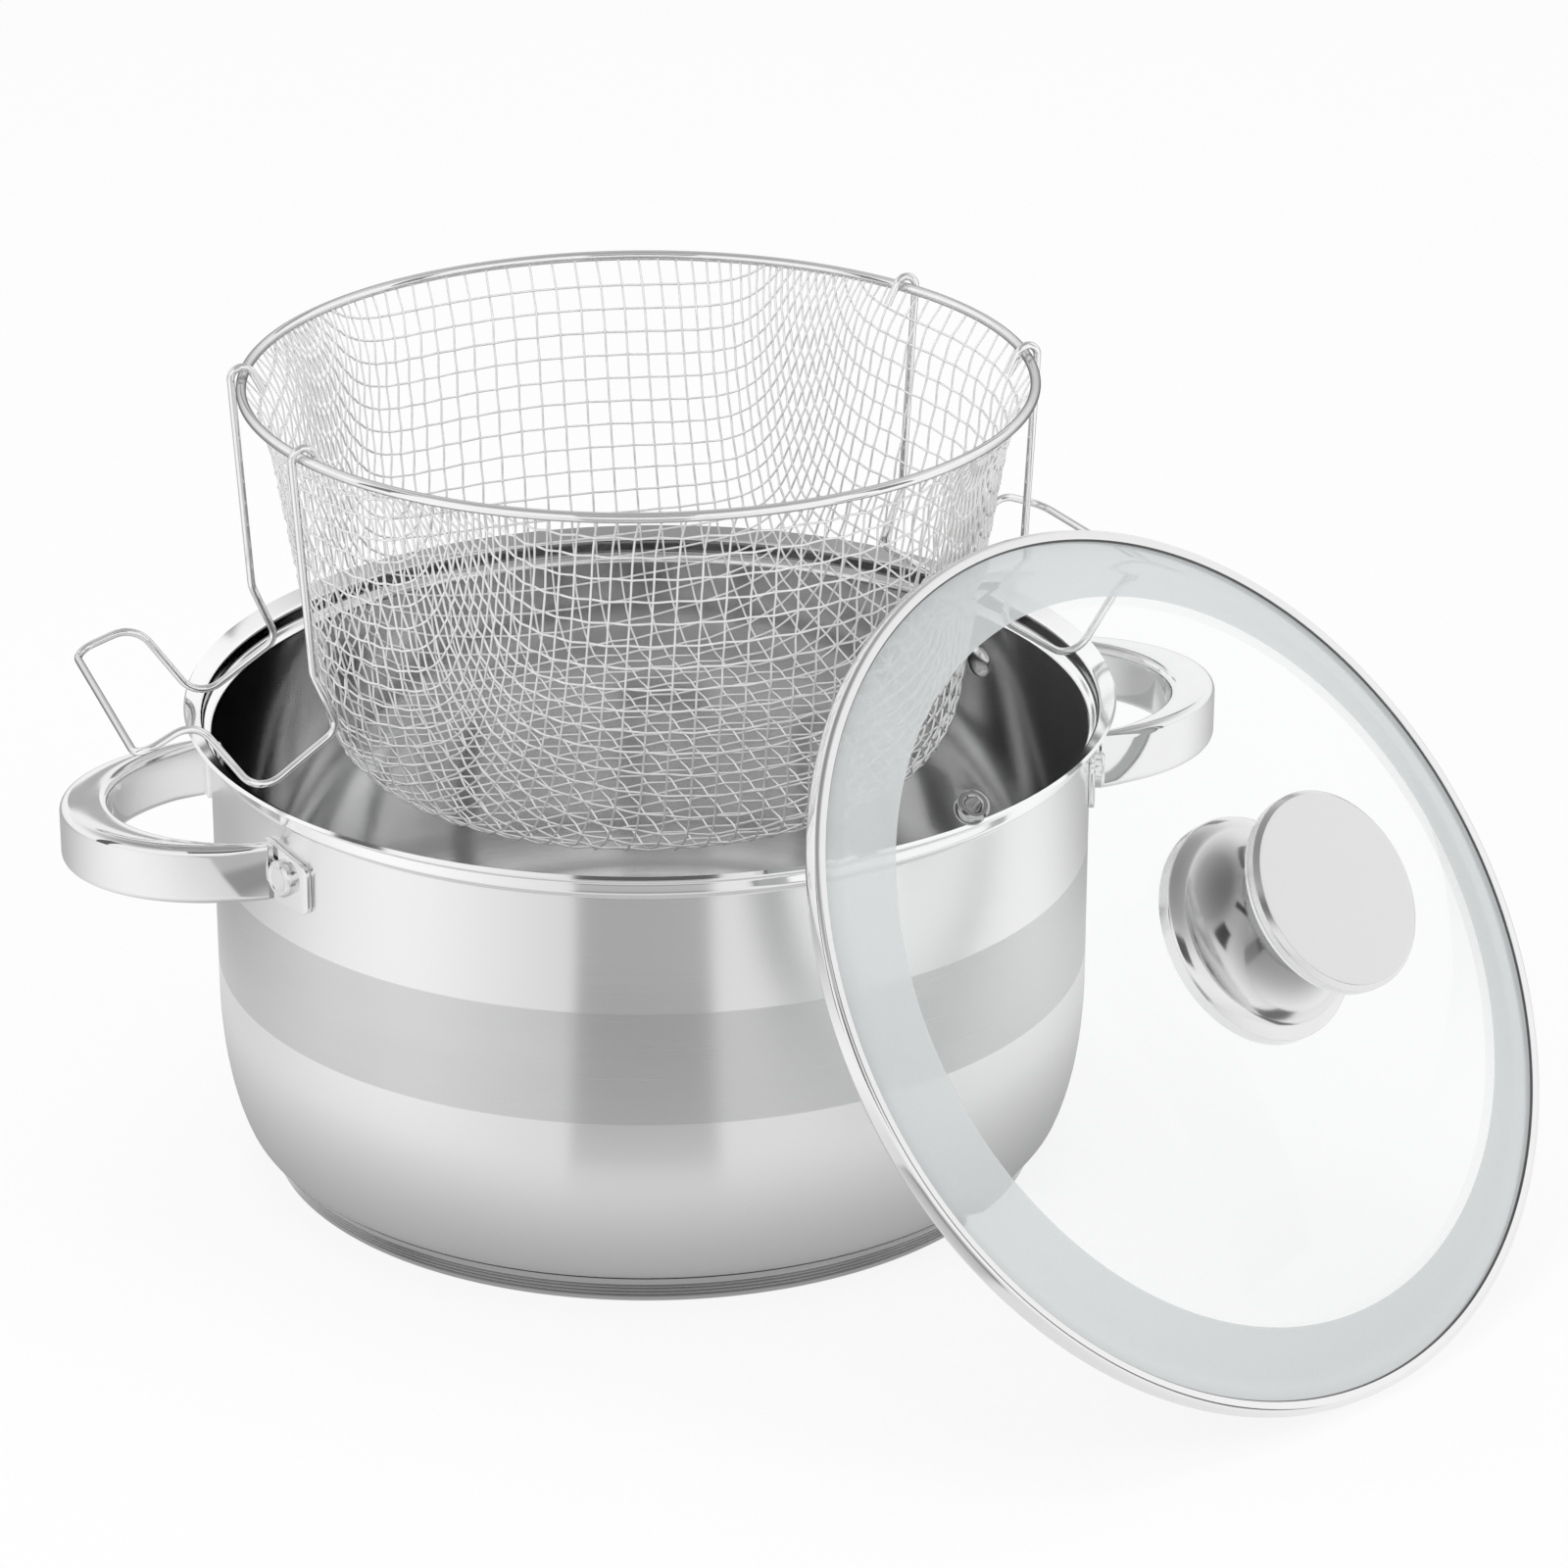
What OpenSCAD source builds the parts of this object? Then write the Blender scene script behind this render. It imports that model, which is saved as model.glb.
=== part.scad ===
/* [Pot] */
// Outside radius of the pot's straight wall
pot_r = 120.9; // [116:0.1:126]
// Height of the lip's crest above the floor
lip_z = 133; // [131:0.5:136]
// Thickness of the pot's sheet steel
sheet = 1.0; // [0.8:0.1:1.2]
// Height at which the wall steps out into the lid's seat
seat_z = 125.3; // [124:0.1:126]
// How far the seat's collar stands outside the wall
collar_step = 2.7; // [2.2:0.1:3.2]

/* [Base] */
// Radius of the pot's flat bottom, up to its corner
bottom_r = 107.2; // [105:0.1:109]
// Thickness of the heat-spreading disc under the pot
core_t = 7.1; // [6:0.1:8]
// Grooves around the base cover's side
groove_count = 4; // [2:1:5]

/* [Pot handles] */
// Reach of a loop handle's tip from the pot's axis
loop_reach = 165; // [155:1:175]
// Height of a loop handle's lower edge
loop_z = 102; // [98:0.5:104]
// Height of a loop handle's band
loop_h = 16.5; // [14:0.5:18]
// Rivet's place around the pot, from the handle's middle
rivet_turn = 20.6; // [20:0.1:21.5]

/* [Basket] */
// Radius of the rim ring, to the middle of its wire
ring_r = 106.7; // [105:0.1:108]
// Height of the rim ring with the basket hung up to drain
ring_z = 222.5; // [220:0.5:225]
// Diameter of the rim ring's wire
ring_wire = 2.8; // [2.4:0.1:3]
// Height of the basket's floor in the same position
floor_z = 115.5; // [114:0.5:120]
// Inside reach of the basket's floor, up to the wall's line
floor_r = 84; // [80:0.5:87]
// Lean of the basket's wall from upright
wall_lean = 9.4; // [8:0.1:11]
// Diameter of a mesh wire
mesh_wire = 0.75; // [0.6:0.05:0.9]
// Pitch between mesh wires on the flat cloth
mesh_pitch = 13.3; // [13:0.1:14]

/* [Basket handles] */
// Diameter of the bent handle wire
handle_wire = 2.1; // [1.9:0.1:2.3]
// Reach of the grip beyond the hinge
grip_reach = 48.5; // [46:0.5:52]
// How far the right handle's hooks stand along the rim from their place opposite the left one's
right_turn = 9.8; // [9.5:0.1:10]

/* [Lid] */
// Outside radius of the lid's steel band
band_r = 121.2; // [117:0.1:121.6]
// Height of the lid's band
band_h = 5.3; // [4.6:0.1:6]
// Thickness of the glass
glass_t = 4; // [3.4:0.1:4.2]
// Rise of the glass dome above its rim
dome_rise = 26; // [22:0.5:30]
// Distance from the lid's middle to its steam vent
vent_r = 82; // [70:0.5:90]
// Radius of the knob's foot
knob_foot_r = 30.5; // [26:0.5:33]
// Height of the knob above the glass
knob_h = 32.5; // [28:0.5:36]

/* [Hidden] */
$fn = 96;

// Working clearances
seat_gap = 0.03;
bore_gap = 0.05;
hook_play = 0.3;
rest_gap = 0.3;
joint_gap = 0.04;
joint_lap = 0.01;
cap_gap = 0.06;

// Pot: the middle line of its sheet, from the bottom's centre to the lip
wall_mid = pot_r - sheet / 2;
corner_r = 8.24;
belly_drop = 44.8;
belly_rise = 33.06;
belly_in = 13.6;
cover_t = 0.6;
core_z = cover_t;
pot_floor_z = core_z + core_t + 0.1 + sheet / 2;
corner_z = pot_floor_z + corner_r;
belly_c = [wall_mid - belly_in, corner_z + belly_rise];
collar_mid = wall_mid + collar_step;
lip_flare = 4.2;

// Lug plates and rivets
lug_t = 1.55;
lug_in_turn = 16.2;
lug_out_turn = 25.2;
lug_square = 3;
lug_slant = 3;
lug_top_r = 3;
lug_low_r = 2.5;
lug_r = pot_r + seat_gap + lug_t;
loop_end_x = 118;
stub_back = 10;
stub_y = 35.6;
stub_t = 2.5;
stub_inset = 0.4;
loop_mid_z = loop_z + loop_h / 2;
rivet_hole_r = 2.5;
rivet_head_r = 5.1;
inner_head_r = 4.5;

// Loop handle: its outer and inner ellipses
loop_outer = [loop_reach - loop_end_x, 39];
loop_inner_x = 110;
loop_inner = [loop_reach - 13.5 - loop_inner_x, 36];

// Basket's place in the pot's mouth
basket_x = -1.8;
basket_y = 1.5;

// Basket wall: a floor, a round corner, a leaning wall and a flare up to the ring
floor_corner = 20;
corner_run = floor_corner * tan((90 - wall_lean) / 2);
flare_z = 204.5;
s_floor = floor_r - corner_run;
s_corner = s_floor + floor_corner * (90 - wall_lean) * PI / 180;
wall_foot = [floor_r + corner_run * sin(wall_lean), floor_z + corner_run * cos(wall_lean)];
s_wall = s_corner + (flare_z - wall_foot[1]) / cos(wall_lean);
flare_foot = [wall_foot[0] + (flare_z - wall_foot[1]) * tan(wall_lean), flare_z];
flare_chord = [ring_r, ring_z] - flare_foot;
flare_turn = 2 * (atan2(flare_chord[0], flare_chord[1]) - wall_lean);
flare_r = norm(flare_chord) / 2 / sin(flare_turn / 2);
s_ring = s_wall + flare_r * flare_turn * PI / 180;

// Woven mesh: how the flat cloth is drawn over the basket's wall
draw_start = 60;
draw_end = 150;
draw_stretch = 0.125;
bias_squeeze = 0.53;
weave_lift = 0.45;
last_wire = floor((s_ring - 8) / mesh_pitch);
weld_depth = 0.9;

// Basket handles: the hinge's line and the wire's corners
hook_y = (rim_y(2.5) + rim_y(3)) / 2;
hinge_x = sqrt(ring_r ^ 2 - hook_y ^ 2);
hook_skew = atan2(hook_y, hinge_x);
wire_r = handle_wire / 2;
hook_r = ring_wire / 2 / cos(hook_skew) + wire_r * tan(hook_skew) + hook_play + wire_r;
hook_lean = 27;
hook_tail = 6.5;
dip_sag = 3.7;
dip_z = lip_z + wire_r + rest_gap - dip_sag;
// Knee, heel, dip and hump of a leg, and the grip's corner: out from the hinge, along it, and height
handle_corners = [
  [-0.5, 34, 162.5], [-7, 33.8, 146.4], [15.5, 35, dip_z], [32, 36, 154.3], [grip_reach, 38.8, 147.3]
];
handle_bends = [9, 4.5, 7.5, 8, 5];

// Lid: the glass is a flat rim, a short bend and a round dome
glass_r = band_r - 0.8;
band_t = 0.6;
band_lip_r = band_r - 3;
rim_in_r = 114.5;
rim_bend_r = 12;
dome_turn = 2 * atan(dome_rise / rim_in_r);
dome_r = rim_in_r / sin(dome_turn) - rim_bend_r;
dome_cz = dome_rise - dome_r;
glass_top = dome_rise + glass_t / 2;
glass_under = dome_rise - glass_t / 2;
vent_tilt = asin(vent_r / dome_r);
vent_turn = 224;
vent_hole_r = 2.2;
vent_tube_r = 3.15;
vent_flange_r = 4.35;
stud_hole_r = 4;
screw_r = 2.5;
knob_foot_z = dome_cz + sqrt((dome_r + glass_t / 2) ^ 2 - knob_foot_r ^ 2) + 0.05;
knob_top = glass_top + knob_h;
knob_t = 1;
knob_cap_r = 27;
knob_cap_h = 3.5;
neck_r = 15;

// Lid's place: leaning outward on the floor beside the pot
lid_lean = 37.1;
lid_turn = -61.6;
lid_x = 101.2;
lid_y = -145.2;
lid_z = band_r * cos(lid_lean) + band_h / 2 * sin(lid_lean) + 0.02;

// ---- outlines ----

// Points on an arc about c
function arc(c, r, a0, a1, n) = [for (i = [0:n]) let (a = a0 + (a1 - a0) * i / n) c + r * [cos(a), sin(a)]];
// Points on an ellipse about c with half-widths e
function oval(c, e, a0, a1, n) =
  [for (i = [0:n]) let (a = a0 + (a1 - a0) * i / n) c + [e[0] * cos(a), e[1] * sin(a)]];
function unit(v) = v / norm(v);
function left_of(v) = [-v[1], v[0]];
// A line moved sideways by d, square to its own direction
function beside(line, d) = [
  for (i = [0:len(line) - 1])
    let (
      back = unit(line[max(i, 1)] - line[max(i, 1) - 1]),
      ahead = unit(line[min(i, len(line) - 2) + 1] - line[min(i, len(line) - 2)]),
      across = left_of(unit(back + ahead)),
      widen = 1 / max(0.5, across * left_of(back))
    )
    line[i] + across * d * widen
];
function backwards(line) = [for (i = [len(line) - 1:-1:0]) line[i]];
// A turned sheet of thickness t about the line
module spun_sheet(line, t) {
  edge = concat(beside(line, t / 2), backwards(beside(line, -t / 2)));
  rotate_extrude()
    polygon([for (p = edge) [max(0, p[0]), p[1]]]);
}

// ---- pot ----

pot_line = concat(
  [[0, pot_floor_z]],
  arc([bottom_r, corner_z], corner_r, -90, -22.7, 7),
  oval(belly_c, [belly_in, belly_drop], -50, 0, 8),
  [[wall_mid, seat_z - 1.2], [wall_mid + 0.3, seat_z - 0.4]],
  [[collar_mid - 0.3, seat_z + 0.4], [collar_mid, seat_z + 1.2], [collar_mid, lip_z - 4.5]],
  [[collar_mid + 0.5, lip_z - 2.8], [collar_mid + 1.8, lip_z - 1.4], [collar_mid + lip_flare, lip_z - 0.5]]
);
// Height of the pot's underside at radius r, within its bottom corner
function underside(r) = corner_z - sqrt((corner_r + sheet / 2) ^ 2 - (r - bottom_r) ^ 2);

module pot_body() {
  color("silver")
    difference() {
      spun_sheet(pot_line, sheet);
      each_rivet(0)
        rivet_hole();
      each_rivet(180)
        rivet_hole();
    }
}
// Places its child at the two rivets of the handle that is turned by side
module each_rivet(side) {
  for (turn = [-rivet_turn, rivet_turn])
    rotate([0, 0, side + turn])
      translate([0, 0, loop_mid_z])
        rotate([0, 90, 0])
          children();
}
module rivet_hole() {
  translate([0, 0, pot_r - 6])
    cylinder(r = rivet_hole_r + bore_gap, h = 12);
}

cap_low_r = 107.6;
cap_top_r = 111.5;
groove_pitch = 1.3;
groove_w = 0.7;
groove_d = 0.35;
groove_z = 1.6;
cap_top_step = 0.95;
// Radius of the cover's side at height z
function cap_side(z) = cap_low_r + (cap_top_r - cap_low_r) * (z - 0.5) / (underside(cap_top_r) - 0.55);
module base_cap() {
  color("gainsboro")
    rotate_extrude()
      polygon(concat(
        [[0, 0], [cap_low_r - 0.6, 0]],
        [for (i = [0:groove_count - 1]) let (z = groove_z + i * groove_pitch)
          each [[cap_side(z), z], [cap_side(z + 0.2) - groove_d, z + 0.2],
            [cap_side(z + groove_w - 0.2) - groove_d, z + groove_w - 0.2],
            [cap_side(z + groove_w), z + groove_w]]],
        [for (i = [0:4]) let (r = cap_top_r - i * cap_top_step) [r, underside(r) - cap_gap]],
        [[bottom_r - 0.2, core_z + core_t - 0.1], [bottom_r - 0.2, cover_t], [0, cover_t]]
      ));
}
module base_core() {
  color("darkgray")
    translate([0, 0, core_z])
      cylinder(r = bottom_r - 0.4, h = core_t);
}

// ---- pot handles ----

loop_steps = 24;
// Rounded section of the band, w wide and h high, as points about its middle
function band_section(w, h, r) = [
  for (q = [0:3], a = [0, 45, 90])
    let (sx = (q == 0 || q == 3) ? 1 : -1, sz = q < 2 ? 1 : -1)
    [sx * (w / 2 - r), sz * (h / 2 - r)] + r * [cos(q * 90 + a), sin(q * 90 + a)]
];
// Rings of points along the loop, each square to the way from its inner to its outer ellipse
function loop_rings() = [
  for (i = [0:loop_steps])
    let (
      k = 2 * i / loop_steps - 1,
      inner_end = acos((loop_end_x - loop_inner_x) / loop_inner[0]),
      outer = [loop_end_x + loop_outer[0] * cos(90 * k), loop_outer[1] * sin(90 * k)],
      inner = [loop_inner_x + loop_inner[0] * cos(inner_end * k), loop_inner[1] * sin(inner_end * k)],
      mid = (outer + inner) / 2,
      out = unit(outer - inner),
      w = norm(outer - inner)
    )
    [for (p = band_section(w, loop_h, min(2.5, w / 2 - 0.2)))
      [mid[0] + out[0] * p[0], mid[1] + out[1] * p[0], loop_mid_z + p[1]]]
];
// One closed skin over a row of rings that all have the same number of points
module skin(rings) {
  n = len(rings[0]);
  m = len(rings);
  polyhedron(
    points = [for (ring = rings) each ring],
    faces = concat(
      [[for (j = [0:n - 1]) j]],
      [for (i = [0:m - 2], j = [0:n - 1])
        [i * n + j, (i + 1) * n + j, (i + 1) * n + (j + 1) % n, i * n + (j + 1) % n]],
      [[for (j = [n - 1:-1:0]) (m - 1) * n + j]]
    ),
    convexity = 6
  );
}
module pot_loop(side) {
  color("whitesmoke")
    rotate([0, 0, side])
      skin(loop_rings());
}

// A lug plate bent to the pot's wall, with the stub that carries the loop's end
module lug(side, hand) {
  color("lightgray")
    rotate([0, 0, side])
      mirror([0, hand < 0 ? 1 : 0, 0])
        difference() {
          union() {
            intersection() {
              cylinder(r = lug_r, h = 200);
              rotate([0, 0, rivet_turn])
                translate([pot_r - 4, 0, loop_mid_z])
                  rotate([90, 0, 90])
                    linear_extrude(12)
                      lug_outline();
            }
            translate([pot_r - stub_back, stub_y, loop_z + stub_inset])
              cube([loop_end_x - pot_r + stub_back - 0.01, stub_t, loop_h - 2 * stub_inset]);
          }
          translate([0, 0, -1])
            cylinder(r = pot_r + seat_gap, h = 202);
          rotate([0, 0, rivet_turn])
            translate([0, 0, loop_mid_z])
              rotate([0, 90, 0])
                rivet_hole();
        }
}
// Outline of a lug plate: square at the loop, with a slanted top and two round corners at its free end
module lug_outline() {
  inner_y = -lug_r * sin(rivet_turn - lug_in_turn);
  outer_y = lug_r * sin(lug_out_turn - rivet_turn);
  hull() {
    translate([inner_y, -loop_h / 2])
      square([lug_square, loop_h]);
    translate([outer_y - lug_top_r, loop_h / 2 - lug_slant - lug_top_r])
      circle(r = lug_top_r, $fn = 32);
    translate([outer_y - lug_low_r, -loop_h / 2 + lug_low_r])
      circle(r = lug_low_r, $fn = 32);
  }
}

// A solid rivet: domed heads outside the lug and inside the wall, with its shank between
module rivet() {
  translate([0, 0, pot_r - sheet - 0.5])
    cylinder(r = rivet_hole_r, h = sheet + lug_t + 1.2);
}
module rivet_head(r, h, crown) {
  rotate_extrude()
    polygon(concat([[0, 0], [r, 0]], arc([r - crown, h - crown], crown, 0, 60, 4), [[0, h]]));
}
module rivets(side) {
  color("gainsboro")
    for (turn = [-rivet_turn, rivet_turn])
      rotate([0, 0, side + turn])
        union() {
          translate([0, 0, loop_mid_z])
            rotate([0, 90, 0])
              rivet();
          difference() {
            translate([lug_r - 0.3, 0, loop_mid_z])
              rotate([0, 90, 0])
                rivet_head(rivet_head_r, 2.8, 1.8);
            cylinder(r = lug_r + seat_gap, h = 200);
          }
          intersection() {
            translate([pot_r - sheet, 0, loop_mid_z])
              rotate([0, -90, 0])
                rivet_head(inner_head_r, 1.9, 1.2);
            cylinder(r = pot_r - sheet - seat_gap, h = 200);
          }
        }
}

// ---- basket ----

function smooth(x) = let (t = min(1, max(0, x))) t * t * (3 - 2 * t);
// Radius, height and slope of the basket's surface at distance s from its middle
function basket_wall(s) =
  s <= s_floor ? [s, floor_z, 0]
  : s <= s_corner ? let (a = (s - s_floor) / floor_corner * 180 / PI)
    [s_floor + floor_corner * sin(a), floor_z + floor_corner * (1 - cos(a)), a]
  : s <= s_wall ? let (d = s - s_corner)
    [wall_foot[0] + d * sin(wall_lean), wall_foot[1] + d * cos(wall_lean), 90 - wall_lean]
  : let (a = wall_lean + (s - s_wall) / flare_r * 180 / PI)
    [flare_foot[0] + flare_r * (cos(wall_lean) - cos(a)),
      flare_foot[1] + flare_r * (sin(a) - sin(wall_lean)), 90 - a];
function draw(rho) = smooth((rho - draw_start) / (draw_end - draw_start));
// Distance along the basket's surface of the cloth's point at rho, theta
function drawn_s(rho, theta) = rho * (1 - draw_stretch * draw(rho) * sin(2 * theta) ^ 2);
// Place of the flat cloth's point u, v on the basket, lifted off its surface
function mesh_point(u, v, lift) =
  let (
    rho = max(0.001, norm([u, v])),
    theta = atan2(v, u),
    wall = basket_wall(drawn_s(rho, theta)),
    side_pull = rho / wall[0],
    bias_pull = 1 + draw(rho) * (bias_squeeze - 1),
    four = (side_pull - bias_pull) / 2,
    eight = (side_pull + bias_pull) / 2 - 1,
    phi = theta + (four * sin(4 * theta) / 4 + eight * sin(8 * theta) / 8) * 180 / PI,
    r = wall[0] + lift * sin(wall[2])
  )
  [r * cos(phi), r * sin(phi), wall[1] - lift * cos(wall[2])];
function mesh_normal(u, v) =
  let (p = mesh_point(u, v, 0), q = mesh_point(u, v, 1))
  unit(q - p);
// Where the wire that is the given number of pitches off the middle meets the rim
function rim_y(pitches) = let (v = pitches * mesh_pitch) mesh_point(wire_end(v, s_ring), v, 0)[1];
// How far along u the wire at v runs before it has climbed to distance s
function wire_end(v, s, low = 0, high = 260, turns = 24) =
  turns == 0 ? low
  : let (mid = (low + high) / 2)
    drawn_s(norm([mid, v]), atan2(v, mid)) < s
      ? wire_end(v, s, mid, high, turns - 1) : wire_end(v, s, low, mid, turns - 1);
// The cloth's u values at one wire's ends and crossings
function wire_stops(v) =
  let (end = wire_end(v, s_ring - ring_wire / 2 + weld_depth - mesh_wire / 2), last = floor((end - 2.5) / mesh_pitch))
  concat([-end], [for (i = [-last:last]) i * mesh_pitch], [end]);
// Rings of four points along one wire, over and under its neighbours by turns
function wire_rings(j, swap) =
  let (
    v = j * mesh_pitch,
    stops = wire_stops(v),
    n = len(stops),
    at = function (u) swap ? [v, u] : [u, v],
    lift = [for (u = stops) weave_lift * (swap ? -1 : 1) * (abs(round(u / mesh_pitch) + j) % 2 == 0 ? 1 : -1)],
    mids = [for (i = [0:n - 1]) mesh_point(at(stops[i])[0], at(stops[i])[1], lift[i])]
  )
  [for (i = [0:n - 1])
    let (
      along = unit(mids[min(i + 1, n - 1)] - mids[max(i - 1, 0)]),
      out = mesh_normal(at(stops[i])[0], at(stops[i])[1]),
      across = unit(cross(out, along)),
      up = cross(along, across),
      r = mesh_wire / 2
    )
    [mids[i] + up * r, mids[i] + across * r, mids[i] - up * r, mids[i] - across * r]];
// All wires of one direction, as closed skins side by side
module mesh_wires(swap) {
  wires = [for (j = [-last_wire:last_wire]) wire_rings(j, swap)];
  firsts = [for (k = [0:len(wires) - 1]) 4 * count_rings(wires, k)];
  polyhedron(
    points = [for (wire = wires, ring = wire) each ring],
    faces = [for (k = [0:len(wires) - 1]) let (a = firsts[k], m = len(wires[k]))
      each concat(
        [[a, a + 1, a + 2, a + 3]],
        [for (i = [0:m - 2], j = [0:3])
          [a + 4 * i + j, a + 4 * i + 4 + j, a + 4 * i + 4 + (j + 1) % 4, a + 4 * i + (j + 1) % 4]],
        [[a + 4 * m - 1, a + 4 * m - 2, a + 4 * m - 3, a + 4 * m - 4]]
      )],
    convexity = 10
  );
}
// Number of rings in the wires before wire k
function count_rings(wires, k) = k == 0 ? 0 : len(wires[k - 1]) + count_rings(wires, k - 1);

// The basket's place: it hangs a little to one side in the pot's mouth
module in_basket() {
  translate([basket_x, basket_y, 0])
    children();
}
module basket_rim_ring() {
  color("gainsboro")
    translate([basket_x, basket_y, ring_z])
      rotate_extrude()
        translate([ring_r, 0])
          circle(d = ring_wire, $fn = 48);
}
module basket_mesh_warp() {
  color("lightsteelblue")
    in_basket()
      mesh_wires(false);
}
module basket_mesh_weft() {
  color("slategray")
    in_basket()
      mesh_wires(true);
}

// ---- basket handles ----

// A straight wire from a to b, a little short of both ends
module straight(a, b) {
  d = b - a;
  translate(a)
    rotate([0, acos(d[2] / norm(d)), atan2(d[1], d[0])])
      translate([0, 0, joint_gap])
        cylinder(r = wire_r, h = norm(d) - 2 * joint_gap);
}
// A wire bend of radius r about c, from the direction from to the direction to, with a ball at each end
module bend(c, from, to, r) {
  x = unit(from);
  z = unit(cross(from, to));
  y = cross(z, x);
  turn = acos(unit(from) * unit(to));
  trim = joint_gap / r * 180 / PI;
  multmatrix([
    [x[0], y[0], z[0], c[0]],
    [x[1], y[1], z[1], c[1]],
    [x[2], y[2], z[2], c[2]],
    [0, 0, 0, 1]
  ])
    rotate([0, 0, trim])
      rotate_extrude(angle = turn - 2 * trim)
        translate([r, 0])
          circle(r = wire_r);
  for (end = [from, to])
    translate(c + unit(end) * r)
      sphere(r = wire_r + joint_lap);
}
// Corners of the whole handle, from one hook's leg over the grip to the other's
function handle_path() =
  let (half = concat([[hook_r, hook_y, 0]], [for (c = handle_corners) c - [0, 0, ring_z]]))
  concat(half, [for (c = backwards(half)) [c[0], -c[1], c[2]]]);
// How far a bend of radius r reaches from its corner p along both legs
function bend_reach(a, p, b, r) = r / tan(acos(unit(a - p) * unit(b - p)) / 2);
module handle_wire_run() {
  path = handle_path();
  bends = concat([0], handle_bends, backwards(handle_bends), [0]);
  n = len(path);
  reach = [for (i = [0:n - 1]) (i == 0 || i == n - 1) ? 0
    : bend_reach(path[i - 1], path[i], path[i + 1], bends[i])];
  for (i = [0:n - 2])
    straight(
      path[i] + unit(path[i + 1] - path[i]) * reach[i],
      path[i + 1] - unit(path[i + 1] - path[i]) * reach[i + 1]
    );
  for (i = [1:n - 2])
    let (
      to_a = unit(path[i - 1] - path[i]),
      to_b = unit(path[i + 1] - path[i]),
      centre = path[i] + unit(to_a + to_b) * bends[i] / sin(acos(to_a * to_b) / 2)
    )
      bend(centre, path[i] + to_a * reach[i] - centre, path[i] + to_b * reach[i] - centre, bends[i]);
}
module basket_handle(turn) {
  color("gainsboro")
    in_basket()
      rotate([0, 0, turn])
        translate([hinge_x, 0, ring_z]) {
          handle_wire_run();
          for (y = [-hook_y, hook_y])
            hook(y);
        }
}
// A hook over the rim ring: most of half a turn about the hinge's line, then a tail down inside the mesh
module hook(y) {
  down = [-sin(hook_lean), 0, -cos(hook_lean)];
  end = [-cos(hook_lean), 0, sin(hook_lean)] * hook_r;
  translate([0, y, 0]) {
    bend([0, 0, 0], [1, 0, 0], end / hook_r, hook_r);
    straight(end, end + down * (hook_tail + joint_gap));
  }
}

// ---- lid ----

module lid_place() {
  translate([lid_x, lid_y, lid_z])
    rotate([0, 90 - lid_lean, lid_turn])
      children();
}
// Middle line of the glass, from its centre to its edge, before the stud hole is cut
glass_line = concat(
  arc([0, dome_cz], dome_r, 90, 90 - dome_turn, 20),
  arc([rim_in_r, rim_bend_r], rim_bend_r, 270 - dome_turn + 5, 270, 4),
  [[glass_r, 0]]
);
module lid_glass() {
  color([0.75, 0.85, 0.82, 0.5])
    lid_place()
      difference() {
        spun_sheet(glass_line, glass_t);
        translate([0, 0, dome_rise - 10])
          cylinder(r = stud_hole_r, h = 20);
        vent_place()
          translate([0, 0, -10])
            cylinder(r = vent_tube_r + bore_gap, h = 20);
      }
}
// Stands its child on the glass's middle surface, at the vent
module vent_place() {
  translate([0, 0, dome_cz])
    rotate([0, vent_tilt, vent_turn])
      translate([0, 0, dome_r])
        children();
}
module vent_eyelet() {
  color("silver")
    lid_place()
      vent_place()
        rotate_extrude()
          polygon([
            [vent_hole_r, -glass_t / 2 - 0.6], [vent_flange_r - 0.4, -glass_t / 2 - 0.9],
            [vent_flange_r, -glass_t / 2 - 0.08], [vent_tube_r, -glass_t / 2 - 0.08],
            [vent_tube_r, glass_t / 2 + 0.02], [vent_flange_r, glass_t / 2 + 0.02],
            [vent_flange_r - 0.1, glass_t / 2 + 0.6], [vent_flange_r - 0.6, glass_t / 2 + 1],
            [vent_hole_r + 0.6, glass_t / 2 + 1], [vent_hole_r, glass_t / 2 + 0.6]
          ]);
}
module lid_band() {
  half = band_h / 2;
  color("gainsboro")
    lid_place()
      rotate_extrude()
        polygon([
          [band_lip_r, -half], [band_r - 0.5, -half], [band_r, -half + 0.5],
          [band_r, half - 0.5], [band_r - 0.5, half], [band_lip_r, half],
          [band_lip_r, half - band_t], [band_r - band_t, half - band_t],
          [band_r - band_t, -half + band_t], [band_lip_r, -half + band_t]
        ]);
}
// Middle line of the knob's spun foot and neck, from the glass up to its cap
knob_line = concat(
  [[knob_foot_r - knob_t / 2, knob_foot_z], [knob_foot_r - knob_t / 2, knob_foot_z + 2.9]],
  oval([knob_foot_r - 1.5, glass_top + 17], [knob_foot_r - 1.5 - neck_r, 13.2], 270, 180, 8),
  oval([knob_cap_r - 1.5, glass_top + 19], [knob_cap_r - 1.5 - neck_r, knob_h - knob_cap_h - 19.5], 180, 90, 6),
  [[knob_cap_r - 0.2, knob_top - knob_cap_h - 0.5]]
);
module knob_base() {
  color("gainsboro")
    lid_place()
      spun_sheet(knob_line, knob_t);
}
module knob_cap() {
  low = knob_top - knob_cap_h;
  color("silver")
    lid_place()
      rotate_extrude()
        polygon([
          [0, knob_top - knob_t], [knob_cap_r - 1.8, knob_top - knob_t],
          [knob_cap_r - knob_t, knob_top - 1.9], [knob_cap_r - knob_t, low],
          [knob_cap_r, low], [knob_cap_r, knob_top - 1.3], [knob_cap_r - 1.4, knob_top], [0, knob_top]
        ]);
}
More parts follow.
